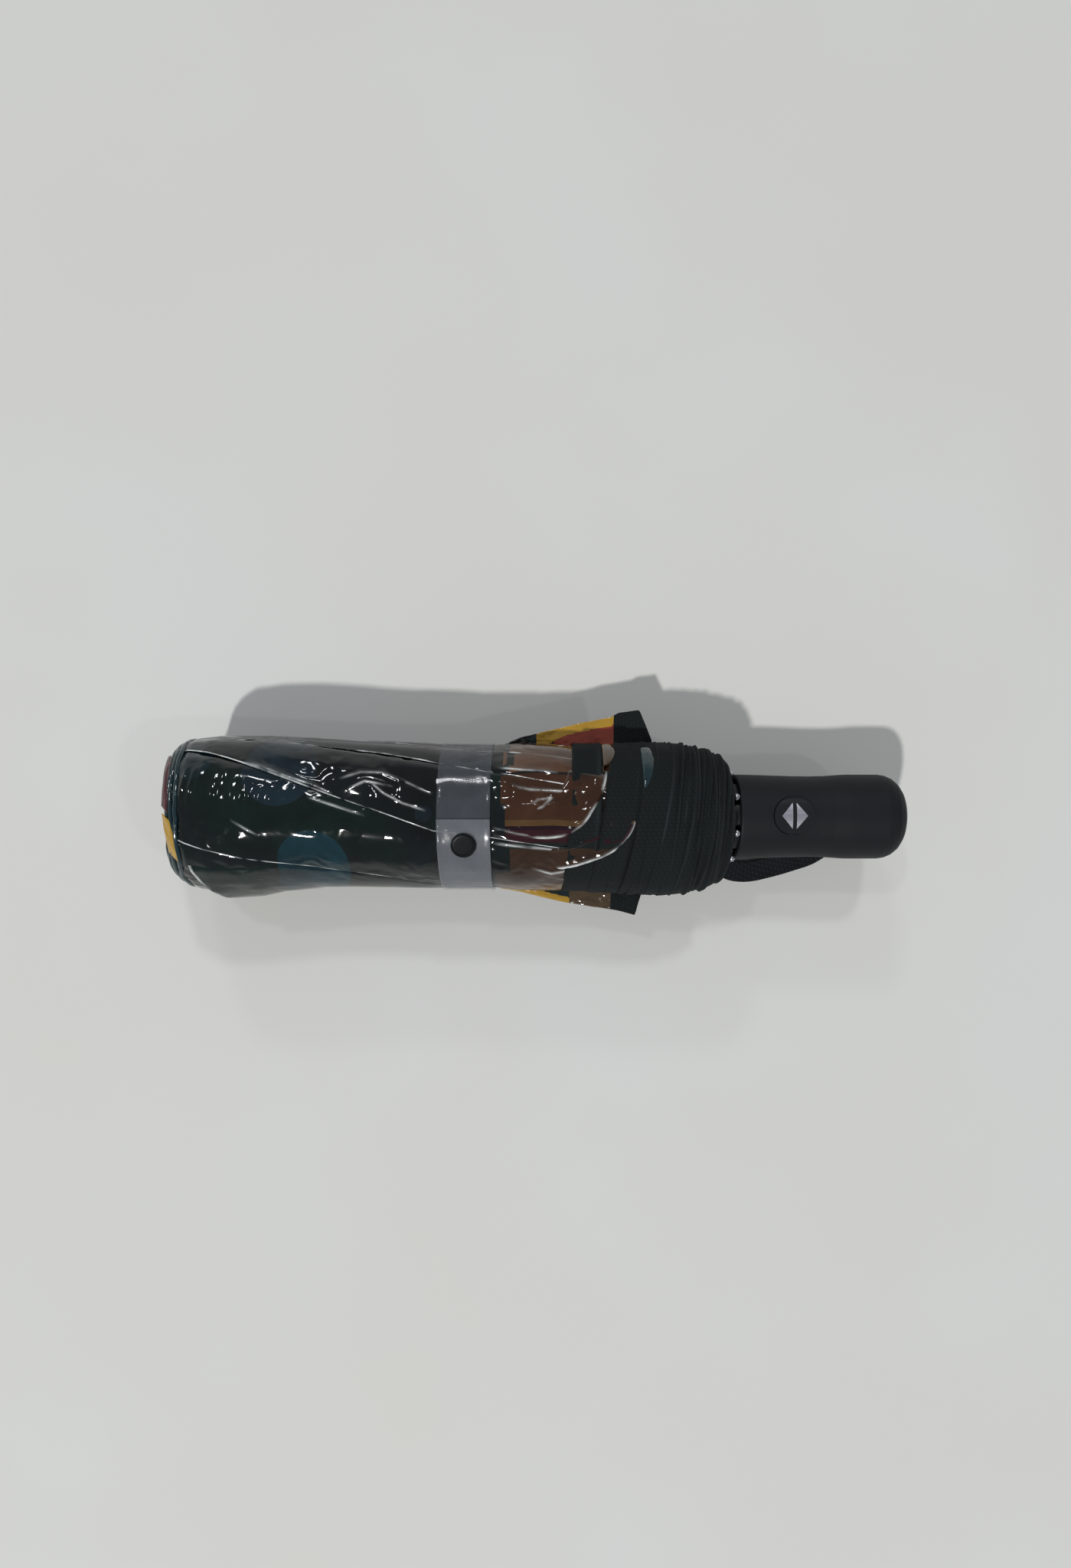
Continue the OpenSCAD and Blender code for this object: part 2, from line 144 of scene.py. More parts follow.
def moulded(name, base, roughness, grain_mm, depth_mm, **uniform):
    """Moulded plastic: its tool's spark grain breaks up every reflection, and its sheen is uneven."""
    m, add, shader, at = material(name, base, roughness=roughness, **uniform)
    grain = add("TexNoise", {"Vector": at, "Scale": 1000 / grain_mm, "Detail": 3.0})
    cloud = add("TexNoise", {"Vector": at, "Scale": 55.0, "Detail": 2.0})
    dark = srgb(base)
    light = tuple(min(1, v * 1.35 + 0.002) for v in dark[:3]) + (1.0,)
    colour = add("Mix", {0: cloud, 6: dark, 7: light}, **COLOUR)
    sheen = add("MapRange", {"Value": cloud, "To Min": roughness * 0.85, "To Max": roughness * 1.2})
    rise = add("Bump", {"Height": grain, "Distance": depth_mm * MM, "Strength": 0.5})
    feed(shader, {"Base Color": colour, "Roughness": sheen, "Normal": rise})
    return m


def drawn_steel(name, base, roughness):
    """Drawn or rolled steel, plated: bright, its reflections drawn out by faint lines along its length."""
    m, add, shader, at = material(name, base, metallic=1.0, roughness=roughness)
    long = add("Mapping", {"Vector": at, "Scale": (20.0, 2600.0, 2600.0)})
    lines = add("TexNoise", {"Vector": long, "Scale": 1.0, "Detail": 2.0})
    sheen = add("MapRange", {"Value": lines, "To Min": roughness * 0.7, "To Max": roughness * 1.5})
    rise = add("Bump", {"Height": lines, "Distance": 0.02 * MM, "Strength": 0.4})
    feed(shader, {"Roughness": sheen, "Normal": rise})
    return m


def woven(name, base, light, pitch_mm, depth_mm):
    """Polyester tape: a twill whose threads catch a dull light, with a highlight painted on a raised edge
    and shade painted in a fold.

    The weave reads the piece's own UV, in units of 10 cm. A point attribute is 1 on a raised edge, where a
    highlight is painted, and -1 in a fold, where shade is painted."""
    m, add, shader, at = material(name, base, roughness=0.90, sheen_weight=0.02, specular_ior_level=0.12)
    uv = add("UVMap", uv_map="cloth")
    waves = []
    for angle, pitch in ((0.0, pitch_mm), (63.0, pitch_mm * 1.25)):
        turned = add("Mapping", {"Vector": uv, "Rotation": (0, 0, math.radians(angle))})
        scale = 100 / pitch / TURN
        inputs = {"Vector": turned, "Scale": scale, "Distortion": 0.6, "Detail": 1.0}
        waves.append(add("TexWave", inputs, "Fac"))
    weave = add("Math", [waves[0], waves[1]], operation="MULTIPLY")
    cloud = add("TexNoise", {"Vector": uv, "Scale": 9.0, "Detail": 4.0})
    part = add("Math", [weave, 0.6], operation="MULTIPLY")
    tone = add("Math", [cloud, 0.5, part], operation="MULTIPLY_ADD")
    colour = add("Mix", {0: tone, 6: srgb(base), 7: srgb(light)}, **COLOUR)
    # Painted highlight: a lighter colour on each raised bead edge of the binding
    bead_light_fold_shade = add("Attribute", out="Fac", attribute_name="bead_light_fold_shade")
    colour = add("Mix", {0: bead_light_fold_shade, 6: colour, 7: srgb("#2d3436")}, **COLOUR)
    # Painted shade: near black in each fold between bands of the binding
    fold_shade = add("Math", [bead_light_fold_shade, -1.0], operation="MULTIPLY")
    colour = add("Mix", {0: fold_shade, 6: colour, 7: srgb("#040505")}, **COLOUR)
    rise = add("Bump", {"Height": weave, "Distance": depth_mm * MM, "Strength": 0.7})
    feed(shader, {"Base Color": colour, "Normal": rise})
    return m


# Discs of the print that show on the upper side of the roll: x, y, radius (mm) and ink.
DISCS = [(-91.5, 16.8, 13.4, "#182a34"), (-79.8, -18.5, 13.0, "#12313a"), (-38.5, 0.5, 3.1, "#19262f"),
         (-87.6, -27.6, 7.5, "#17303a"), (-124, 20, 7.0, "#13282f")]
# Inks of the border, from the -Y side of the roll to its +Y side.
BORDER = [(0.0, "#6f5028"), (0.06, "#3f2c20"), (0.30, "#19211f"), (0.335, "#32131b"), (0.415, "#220e14"),
          (0.44, "#5a4226"), (0.475, "#452b1c"), (0.745, "#221c1a"), (0.765, "#664835")]


def printed_film(name):
    """Thin printed polymer film: wet-looking gloss, dark inks, and white highlights painted along its sharp
    creases.

    The print is a plain scatter of discs on a dark ground with a border of colour blocks near the hem.
    UV is in units of 10 cm. "hemward" runs past 0.5 where the border starts, the crease attribute is 1 where
    a white highlight is painted along a sharp crease, and "rolled" is 1 on the rolled canopy, whose upper
    side takes its print from its coordinates."""
    m, add, shader, at = material(name, "#10181a", roughness=0.06, specular_ior_level=0.42, coat_weight=0.1,
                                  coat_roughness=0.04)
    uv = add("UVMap", uv_map="film")
    place = add("SeparateXYZ", {"Vector": at}, None).outputs
    hemward, rolled_up, creased = (add("Attribute", out="Fac", attribute_name=a)
                                   for a in ("hemward", "rolled", "creased"))
    upper = add("Math", [place[2], AXIS_Z - 0.004], operation="GREATER_THAN")
    on_top = add("Math", [rolled_up, upper], operation="MULTIPLY")

    # Scattered discs, away from the roll's upper side.
    cells = add("TexVoronoi", {"Vector": uv, "Scale": 3.1, "Randomness": 0.8}, None, voronoi_dimensions="2D")
    pick, size, drop = add("SeparateColor", {"Color": cells.outputs["Color"]}, None).outputs[:3]
    radius = add("Math", [size, 0.30, 0.10], operation="MULTIPLY_ADD")
    inside = add("Math", [cells.outputs["Distance"], radius], operation="LESS_THAN")
    kept = add("Math", [drop, 0.38], operation="GREATER_THAN")
    inside = add("Math", [inside, kept], operation="MULTIPLY")
    elsewhere = add("Math", [1.0, on_top], operation="SUBTRACT")
    inside = add("Math", [inside, elsewhere], operation="MULTIPLY")
    disc = add("ValToRGB", {"Fac": pick}, blocks=True,
               stops=[(0.0, "#1c4650"), (0.35, "#1b3440"), (0.6, "#16383a"), (0.8, "#1f4f58")])
    half = add("Math", [radius, 0.55], operation="MULTIPLY")
    core = add("Math", [cells.outputs["Distance"], half], operation="LESS_THAN")
    disc = add("Mix", {0: core, 6: disc, 7: srgb("#14262e")}, **COLOUR)
    patch = add("TexNoise", {"Vector": uv, "Scale": 1.7, "Detail": 3.0})
    ground = add("ValToRGB", {"Fac": patch},
                 stops=[(0.35, "#0f1315"), (0.5, "#101819"), (0.62, "#0b201b"), (0.75, "#17191c")])
    ground = add("Mix", {0: inside, 6: ground, 7: disc}, **COLOUR)

    # The discs of the roll's upper side.
    for x, y, r, ink in DISCS:
        out = add("VectorMath", [at, (x * MM, y * MM, 0)], operation="SUBTRACT")
        out = add("VectorMath", [out, (1, 1, 0)], operation="MULTIPLY")
        reach = add("VectorMath", {0: out}, "Value", operation="LENGTH")
        here = add("Math", [reach, r * MM], operation="LESS_THAN")
        here = add("Math", [here, on_top], operation="MULTIPLY")
        ground = add("Mix", {0: here, 6: ground, 7: srgb(ink)}, **COLOUR)

    # The border: colour blocks, laid in stripes on the roll's upper side.
    blocks = add("TexVoronoi", {"Vector": uv, "Scale": 4.4, "Randomness": 0.55}, "Color",
                 voronoi_dimensions="2D", distance="CHEBYCHEV")
    tint = add("SeparateColor", {"Color": blocks}, 1)
    squares = add("ValToRGB", {"Fac": tint}, blocks=True,
                  stops=[(0.0, "#5c3b24"), (0.3, "#4a3f22"), (0.44, "#14201f"), (0.6, "#45141e"),
                         (0.7, "#684528"), (0.88, "#8a6a2e"), (0.94, "#18262c")])
    wander = add("TexNoise", {"Vector": at, "Scale": 38.0, "Detail": 1.0})
    across = add("Math", [place[1], 1 / 0.060, 0.465], operation="MULTIPLY_ADD")
    across = add("Math", [wander, 0.07, across], operation="MULTIPLY_ADD")
    stripes = add("ValToRGB", {"Fac": across}, stops=BORDER, blocks=True)
    border = add("Mix", {0: on_top, 6: squares, 7: stripes}, **COLOUR)
    where = add("Math", [tint, 0.10, hemward], operation="MULTIPLY_ADD")
    near_hem = add("Math", [where, 0.55], operation="GREATER_THAN")
    ink = add("Mix", {0: near_hem, 6: ground, 7: border}, **COLOUR)

    # Uneven ink, and the painted highlights of the creases.
    cloud = add("TexNoise", {"Vector": at, "Scale": 60.0, "Detail": 4.0, "Distortion": 0.8})
    shade = add("ValToRGB", {"Fac": cloud}, stops=[(0.25, "#8f8f8f"), (0.75, "#ffffff")])
    ink = add("Mix", {0: 1.0, 6: ink, 7: shade}, **COLOUR, blend_type="MULTIPLY")
    # Painted highlight: near-white lines along the creases, broken into pieces
    broken = add("TexNoise", {"Vector": at, "Scale": 130.0, "Detail": 2.0})
    broken = add("MapRange", {"Value": broken, "From Min": 0.38, "From Max": 0.62})
    white = add("Math", [creased, broken], operation="MULTIPLY")
    ink = add("Mix", {0: white, 6: ink, 7: srgb("#e3e8e8")}, **COLOUR)

    crinkle = add("TexNoise", {"Vector": uv, "Scale": 13.0, "Detail": 1.0, "Distortion": 0.9})
    handled = add("TexNoise", {"Vector": uv, "Scale": 4.0, "Detail": 1.0})
    handled = add("MapRange", {"Value": handled, "From Min": 0.45, "From Max": 0.70})
    height = add("Math", [crinkle, handled], operation="MULTIPLY")
    rise = add("Bump", {"Height": height, "Distance": 0.0010, "Strength": 0.7})
    feed(shader, {"Base Color": ink, "Normal": rise})
    return m


def clouded(name, dark, light, scale, depth_mm, **uniform):
    """A sheet with one ink or none, glossy, its colour faintly clouded and its face rippled by handling."""
    m, add, shader, at = material(name, dark, coat_roughness=0.04, **uniform)
    cloud = add("TexNoise", {"Vector": at, "Scale": scale, "Detail": 3.0, "Distortion": 1.0})
    colour = add("Mix", {0: cloud, 6: srgb(dark), 7: srgb(light)}, **COLOUR)
    rise = add("Bump", {"Height": cloud, "Distance": depth_mm * MM, "Strength": 0.5})
    feed(shader, {"Base Color": colour, "Normal": rise})
    return m


# Near black and wet-looking, so that its folds read by their highlights
FILM = printed_film("printed polymer film")
FILM_AMBER, FILM_RED, FILM_PLUM, FILM_BROWN, FILM_TEAL, FILM_DARK = (
    clouded(f"{ink} printed film", dark, light, 90, 0.9, roughness=0.08, coat_weight=0.3)
    for ink, dark, light in (
        ("amber", "#8c6a1e", "#b99536"),  # warm edge of the print
        ("rust red", "#6e2a1f", "#92402d"),  # the border's one red block
        ("plum", "#3a1e22", "#553036"),  # dull brown-red at the crown
        ("brown", "#3a2d20", "#51412e"),  # the border where the light goes through it
        ("teal", "#0f2025", "#17343b"),  # the discs' ink, seen edge on
        ("bottle green", "#0c1516", "#132324")))  # the print's ground
# Matt black against the wet film
BINDING = woven("woven polyester hem binding", "#131718", "#1d2223", 0.7, 0.05)
# Coarser and blacker than the binding
TAPE = woven("woven polyester wrist tape", "#101114", "#26282c", 0.8, 0.10)
PVC = {"scale": 70, "depth_mm": 0.6, "roughness": 0.16, "ior": 1.53, "coat_weight": 0.4}
CLEAR = clouded("clear PVC strap", "#565c64", "#787f88", alpha=0.21, **PVC)  # a grey veil over the film
# Paler where it is doubled
CLEAR_END = clouded("clear PVC strap end", "#767b82", "#90959c", alpha=0.29, **PVC)
# Even, dark, with no sharp light on it
GRIP = moulded("soft-touch moulded grip", "#0d0f13", 0.58, 0.25, 0.02, specular_ior_level=0.22)
# Plain black working parts
BLACK = moulded("moulded black ABS", "#101214", 0.42, 0.3, 0.015, specular_ior_level=0.35)
# A dull flat face, so that only its rim glints
SNAP = moulded("moulded black acetal", "#0f1214", 0.26, 0.5, 0.003, specular_ior_level=0.05)
# Mirror-like beside the soft grip
GLOSS = moulded("polished black ABS", "#0b0d10", 0.12, 1.6, 0.004, coat_weight=0.6)
PLATED = drawn_steel("zinc-plated steel strip", "#b9bbbf", 0.26)  # the ribs' dull silver
CHROMED = drawn_steel("bright drawn steel tube", "#c6c8cb", 0.16)  # the shaft's bright silver
# The top tube, which shows no metal
PAINTED = moulded("black lacquered steel tube", "#141518", 0.28, 0.8, 0.004, coat_weight=0.3)
SILVER = drawn_steel("hot-foiled silver mark", "#b4b6bf", 0.38)  # the only bright spot on the grip


def finish_cad():
    """Gives each carried-over CAD node its finish."""
    by_name = {"handle_grip": GRIP, "handle_core": BLACK, "lower_tube": CHROMED, "middle_tube": CHROMED,
               "upper_tube": PAINTED, "crown": BLACK, "top_cap": BLACK, "runner": BLACK, "button": GLOSS,
               "button_spring": CHROMED, "snap_socket": GLOSS, "snap_cap": GLOSS}
    for name, obj in frame["nodes"].items():
        m = by_name.get(name) or (PLATED if "rib" in name or "stretcher" in name else None)
        if m:
            obj.data.materials.clear()
            obj.data.materials.append(m)


# ---- meshes ----

def grid_faces(rows, cols, ring=False):
    """Quads of a grid of rows by cols points; a ring closes its columns."""
    last = cols if ring else cols - 1
    return [(r * cols + c, r * cols + (c + 1) % cols, (r + 1) * cols + (c + 1) % cols, (r + 1) * cols + c)
            for r in range(rows - 1) for c in range(last)]


def stand(name, data):
    """Puts data into the scene as an object."""
    obj = bpy.data.objects.new(name, data)
    bpy.context.scene.collection.objects.link(obj)
    return obj


def note(mesh, name, values):
    """Keeps a number for each point of a mesh, for a finish to read."""
    mesh.attributes.new(name, "FLOAT", "POINT").data.foreach_set("value", np.asarray(values, np.float32))


def surface(mesh, uv=None, uv_name="film"):
    """Shades every face smooth, and lays out a UV that is given for each point."""
    for polygon in mesh.polygons:
        polygon.use_smooth = True
    if uv is not None:
        layer = mesh.uv_layers.new(name=uv_name)
        corner = np.zeros(len(mesh.loops), np.int32)
        mesh.loops.foreach_get("vertex_index", corner)
        layer.data.foreach_set("uv", np.asarray(uv, np.float32)[corner].ravel())


def new_mesh(name, points, faces, finish, uv=None, uv_name="film", flip=False, **notes):
    mesh = bpy.data.meshes.new(name)
    mesh.from_pydata([tuple(p) for p in points], [], [f[::-1] for f in faces] if flip else faces)
    for m in finish if isinstance(finish, (list, tuple)) else [finish]:
        mesh.materials.append(m)
    surface(mesh, uv, uv_name)
    for attribute, values in notes.items():
        note(mesh, attribute, values)
    mesh.update()
    return stand(name, mesh)


def around(x, azimuth, r):
    """A point at a distance r from the shaft; azimuth in degrees from straight up towards -Y."""
    a = math.radians(azimuth)
    return (x, -r * math.sin(a), AXIS_Z + r * math.cos(a))


def outward(azimuth):
    """The direction straight out from the shaft at an azimuth."""
    a = math.radians(azimuth)
    return Vector((0, -math.sin(a), math.cos(a)))


def on_table(p, lift):
    return (p[0], p[1], max(p[2], lift))


def fractal(x, y, z, octaves=3):
    return noise.fractal(Vector((x, y, z)), 1.0, 2.0, octaves)


def smooth(t):
    t = min(1.0, max(0.0, t))
    return t * t * (3 - 2 * t)


def thicken(obj, thickness, offset=-1.0):
    """Gives a sheet its thickness, for good."""
    s = obj.modifiers.new("thickness", "SOLIDIFY")
    s.thickness, s.offset = thickness, offset
    return bake(obj)


def bake(obj):
    mesh = bpy.data.meshes.new_from_object(obj.evaluated_get(bpy.context.evaluated_depsgraph_get()))
    obj.modifiers.clear()
    obj.data = mesh
    return obj


def through(x, shape):
    """The height at x of a line through points (place, height)."""
    return float(np.interp(x, *zip(*shape)))


def roll_radius(x):
    """Outside of the rolled canopy along the shaft."""
    shape = [(FILM_X0, 24.0), (-131.5, 26.0), (-129, 28.0), (-125.5, 29.4), (-119, 30.4), (-105, 30.7),
             (-92, 29.9), (-80, 29.1), (-68, 28.7), (-55, 28.6), (-40, 28.4), (-34.5, 28.1), (-13.5, 28.1),
             (-6, 28.8), (10, 28.8), (17, 28.2), (22, 27.6), (60, 27.2)]
    return through(x / MM, shape) * MM


def lean(x):
    """How far the roll's middle lies towards +Y: one way at the crown, the other at the hem."""
    line = [(-141, 2.0), (-125, 1.2), (-105, 0.9), (-85, 1.3), (-55, 1.0), (-35, 0.2), (-8, 0.0), (40, -0.4),
            (56, -1.6), (66, -1.9), (79, -3.6)]
    return through(x / MM, line) * MM


def crown_reach(x, azimuth):
    """How much further the roll's crown end reaches at its sides than on top."""
    return -4.0 * MM * math.sin(math.radians(azimuth)) ** 2 * (1 - smooth((x / MM + 133) / 26))


def on_roll(x, azimuth, r, lift):
    """A point of the rolled film, which leans off the shaft's line and stays a lift above the table."""
    p = around(x + crown_reach(x, azimuth), azimuth, r)
    return on_table((p[0], p[1] + lean(p[0]), p[2]), lift)


# The free edge of each pleat: azimuth at the crown end, degrees per mm up to the strap and after it.
PLEATS = [(-56, 0.72, 0.22), (19, 0.50, 0.25), (62, 0.56, 0.3), (107, 0.6, 0.3), (152, 0.6, 0.3),
          (197, 0.6, 0.3), (240, 0.58, 0.3), (283, 0.34, 0.42)]

# Folds that stand up on the roll's upper side: height and half-width in mm, then points (x, y) in mm.
RIDGES = [
    (0.9, 1.1, (-105, 19.5), (-97, 17.2), (-88.5, 14.0), (-79.0, 11.0), (-72, 8.0)),
    (0.5, 0.8, (-80, 6.5), (-71, 3.6), (-60, 0.0)),
    (0.45, 0.7, (-69, 13.5), (-62, 15.8), (-54, 15.6), (-45, 12.0), (-36, 8.0)),
    (0.5, 0.9, (-58, 12.2), (-53, 8.0), (-46, 4.4), (-38, 1.8)),
    (0.4, 0.7, (-66, 9.6), (-60, 12.4), (-50, 10.6)),
    (0.5, 0.8, (-107, -2.0), (-103, -4.4), (-98, -7.2)),
    (0.7, 1.2, (-11, 11.5), (0, 9.2), (12, 8.6), (22, 11.0)),
    (0.8, 1.0, (-13, -4.6), (-4, -6.6), (6, -8.0), (16, -6.8)),
    (0.6, 0.9, (-13, -10.2), (-2, -11.3), (10, -12.4), (17, -12.8)),
    (0.6, 1.0, (-13, 17.5), (-2, 16.5), (10, 15.8)),
    (0.45, 0.9, (1, -19.5), (8, -21.4), (16, -20.0)),
    (0.5, 0.8, (-1, 2.5), (3, 5.4), (8, 6.4), (5, 3.2), (0, 1.0)),
]
# Short folds across the roll, where the film was gathered: x, from y, to y, height.
GATHERS = [(-134.4, -14, 18, 0.5), (-132.2, -6, 20, 0.45), (-126.6, 6, 17, 0.4), (-123.5, 4, 16, 0.5),
           (-120.6, 8, 18, 0.35), (-115.2, 5, 15, 0.55), (-112.4, 7, 16, 0.5), (-108.0, 4, 15, 0.45),
           (-104.6, 3, 12, 0.55), (-101.6, 2, 11, 0.5), (-98.4, 1, 10, 0.4), (-94.6, 0, 8, 0.35),
           (-55, 2, 9, 0.3), (-49, 4, 12, 0.35)]


def to_segment(p, a, b):
    """Distance from a point to a segment, in the plane."""
    d = b - a
    t = np.clip(((p - a) @ d) / (d @ d), 0, 1)
    return np.linalg.norm(p - a - t[:, None] * d, axis=1), t


def folds(points):
    """Height in mm of the folds above at points (x, y) in mm on the roll, and how much painted highlight
    runs along their crests there.
    """
    total, sharp = np.zeros(len(points)), np.zeros(len(points))
    for height, half, *line in RIDGES:
        line = [np.array(q, float) for q in line]
        near = np.full(len(points), 99.0)
        ends = np.minimum(np.linalg.norm(points - line[0], axis=1),
                          np.linalg.norm(points - line[-1], axis=1))
        for a, b in zip(line, line[1:]):
            near = np.minimum(near, to_segment(points, a, b)[0])
        fade = np.clip(ends / 5 + 0.1, 0, 1)
        total += height * np.exp(-np.abs(near / half) ** 1.5) * fade
        # A narrow line of painted highlight along each fold's crest
        sharp = np.maximum(sharp, np.exp(-(near / 0.32) ** 2) * fade * 0.7)
    for x, y0, y1, height in GATHERS:
        near, t = to_segment(points, np.array([x, y0], float), np.array([x + 1.2, y1], float))
        total += height * np.exp(-np.abs(near / 0.75) ** 1.5) * (0.4 + 0.6 * np.sin(math.pi * t))
    return total, sharp


def crease(k, x):
    """Azimuth of pleat k's free edge at x."""
    laps = 360 * (k // len(PLEATS))
    start, first, second = PLEATS[k % len(PLEATS)]
    mm = x / MM
    sway = 1.2 * math.sin(mm / 17 + k * 2.1)
    return laps + start + first * (min(mm, -35) + 131) + second * max(0, mm + 35) + sway


def wrinkles(x, azimuth, k):
    """How far handling has pushed the film in or out: long folds along the twist, and crumpled patches."""
    mm, arc = x / MM, math.radians(azimuth) * FILM_R
    along, across = mm * 0.95 + arc * 0.30, arc * 0.95 - mm * 0.30
    long_folds = fractal(along / 60, across / 11, k * 3.7, 2)
    patch = smooth(fractal(mm / 30, arc / 16, 9.1 + k, 2) * 2.0 + 0.15)
    crumple = abs(fractal(along / 9, across / 6, 4.4 + k, 2))
    dents = fractal(mm / 26, arc / 17, 2.2, 1)
    return (0.24 * long_folds + 0.26 * dents - 0.60 * patch * crumple) * MM


def to_hem(x):
    """The "hemward" value of rolled film at x."""
    return 0.5 + (x / MM + 9) / 100


def pleat(k):
    """One pleat of film: tucked under the one before it, round the roll to its free edge, folded back."""
    fine = k in (0, 1, 2, 7)
    xs = np.concatenate([np.linspace(FILM_X0, -122, 30), np.linspace(-121.4, 50, 330 if fine else 200)]) * MM
    out = [1 - (1 - t) ** 1.4 for t in np.linspace(0, 1, 84 if fine else 40)]
    points, uv, hemward, top = [], [], [], []
    for x in xs:
        r_out = roll_radius(x)
        side = lean(x)
        a0, a1 = crease(k - 1, x) - 7, crease(k, x)
        start = smooth((x / MM - FILM_X0) / 7)

        def put(az, r, lift, arc_az, extra):
            p = around(x + crown_reach(x, az), az, r)
            points.append(on_table((p[0], p[1] + side, p[2]), lift))
            top.append(p[2] > AXIS_Z + 0.006)
            uv.append((x * 10 + 0.13 * k, math.radians(arc_az) * FILM_R / 100 + 0.41 * k + extra))
            hemward.append(to_hem(x))

        for u in out:
            az = a0 + (a1 - a0) * u
            tucked = 1 - smooth(u / 0.22) + 0.15 * (1 - u)
            bow = 0.30 * math.sin(math.pi * u)
            near_edge = 1 - 0.6 * smooth((u - 0.93) / 0.07)
            r = r_out - (tucked - bow) * MM * (0.3 + 0.7 * start) + wrinkles(x, az, k) * start * near_edge
            put(az, r, 0.0005 + 0.0003 * u, az, 0)
        edge_r = r_out + wrinkles(x, a1, k) * 0.4 * start
        for angle, inset in ((60, 0), (120, 0), (180, 0), (180, 2.5), (180, 6)):
            c = math.radians(angle)
            az = a1 + math.degrees((FOLD_R * math.sin(c) - inset) / FILM_R)
            r = edge_r - (FOLD_R - FOLD_R * math.cos(c)) * MM - 0.02 * inset * MM
            put(az, r, 0.0004, a1, 0.003 * angle / 60)
    cols = len(out) + 5
    # The folds stand on the pleats' outer faces, not on the tucked part.
    points = np.array(points)
    lift, sharp = folds(points[:, :2] / MM)
    strap = np.clip((np.abs(points[:, 0] - STRAP_X) / MM - 9.5) / 2.5, 0, 1)
    index = np.arange(len(points)) % cols
    outer = np.clip((index - 5) / 5, 0, 1) * (index < len(out)) * np.array(top)
    radial = np.stack([np.zeros(len(points)), points[:, 1], points[:, 2] - AXIS_Z], 1)
    radial /= np.linalg.norm(radial, axis=1)[:, None]
    points += radial * (lift * strap * outer * MM)[:, None]
    # Painted highlight along the pleat's folded free edge, and along the crests of the folds above
    edge = 0.75 * ((index >= len(out) - 3) & (index <= len(out)))
    return new_mesh(f"canopy_pleat_{k + 1}", points, grid_faces(len(xs), cols), FILM, uv, hemward=hemward,
                    creased=np.maximum(edge, sharp * outer), rolled=np.ones(len(points)))


def patch_sheet(name, rows, cols, place, finish, creased=None):
    """A small sheet of film: place(u, v) gives x in mm, azimuth in degrees and radius in mm."""
    points, uv, sharp = [], [], []
    for i in range(rows):
        for j in range(cols):
            u, v = i / (rows - 1), j / (cols - 1)
            x, az, r = place(u, v)
            points.append(on_roll(x * MM, az, r * MM, 0.0008))
            uv.append((x / 100, math.radians(az) * FILM_R / 100))
            sharp.append(creased(u, v) if creased else 0.0)
    obj = new_mesh(name, points, grid_faces(rows, cols), finish, uv, hemward=[to_hem(p[0]) for p in points],
                   creased=sharp, rolled=np.ones(len(points)))
    return thicken(obj, 0.0002)


def fold_over_hem(name, line, depth, height, finish):
    """A blister of film whose rounded free edge follows a line (x, y in mm) over the hem's first bands."""
    line = smooth_line([q + (0.0,) for q in line], 10)[:, :2]
    d = np.gradient(line, axis=0)
    d /= np.linalg.norm(d, axis=1)[:, None]
    inward = np.stack([-np.abs(d[:, 1]) - 0.35 * np.abs(d[:, 0]), np.abs(d[:, 0])], 1)
    inward /= np.linalg.norm(inward, axis=1)[:, None]
    profile = [(-0.15, -1.6), (-0.35, -0.9), (-0.3, -0.2), (0.0, 0.45), (0.45, 0.85), (1.0, 1.0),
               (1.7, 0.90), (2.6, 0.66), (3.8, 0.48), (5.8, 0.40), (8.5, 0.36), (0.8 * depth, 0.30),
               (depth, -1.8)]

    def place(u, v):
        i = min(int(u * (len(line) - 1)), len(line) - 1)
        j = v * (len(profile) - 1)
        a, b = profile[int(j)], profile[min(int(j) + 1, len(profile) - 1)]
        inset, up = (a[c] + (b[c] - a[c]) * (j - int(j)) for c in (0, 1))
        q = line[i] + inward[i] * inset
        fade = smooth(min(u, 1 - u) / 0.16)
        up = up * height + 0.18 * fractal(q[0] / 5, q[1] / 5, 3.0, 2)
        r = 28.75 + up * (0.25 + 0.75 * fade) - 0.9 * (1 - fade)
        return q[0], math.degrees(math.asin(max(-0.99, min(0.99, -q[1] / r)))), r

    # A painted highlight along the blister's rounded edge
    def rim(u, v):
        return 0.95 * math.exp(-(v * (len(profile) - 1) - 3.6) ** 2) * smooth(min(u, 1 - u) / 0.10)
    return patch_sheet(name, len(line), 97, place, finish, rim)


def crown_folds():
    """The film's folds where the pleats gather behind the crown, one sheet a rib, each lapping the next."""
    finishes = [FILM_AMBER, FILM_DARK, FILM_TEAL, FILM_PLUM, FILM_DARK, FILM_AMBER, FILM_TEAL, FILM_PLUM]
    made = []
    for k in range(RIBS):
        az0 = FIRST_RIB - 22 + RIB_STEP * k
        points = []
        steps = np.linspace(0, 1, 30)
        for v in steps:
            for u in steps:
                az = az0 + 56 * u + 4 * math.sin(4 * v + k)
                r = 26.0 - 23.0 * v
                x = -144.2 + 12.0 * (r / 26) ** 1.3 - 0.5 * math.sin(math.pi * u) + 0.5 * u
                x += 0.4 * fractal(az / 14, r / 5, k, 2)
                x += 0.9 * abs(math.sin(az / 7 + 3 * v + k)) ** 4 * (1 - v)
                x += crown_reach(x * MM, az) / MM * r / 26
                p = around(max(x, -144.95) * MM, az, r * MM)
                points.append((p[0], p[1] + lean(p[0]), p[2]))
        faces = grid_faces(len(steps), len(steps))
        made.append(new_mesh(f"crown_fold_{k + 1}", points, faces, finishes[k], flip=True))
        thicken(made[-1], 0.00025)
    return made


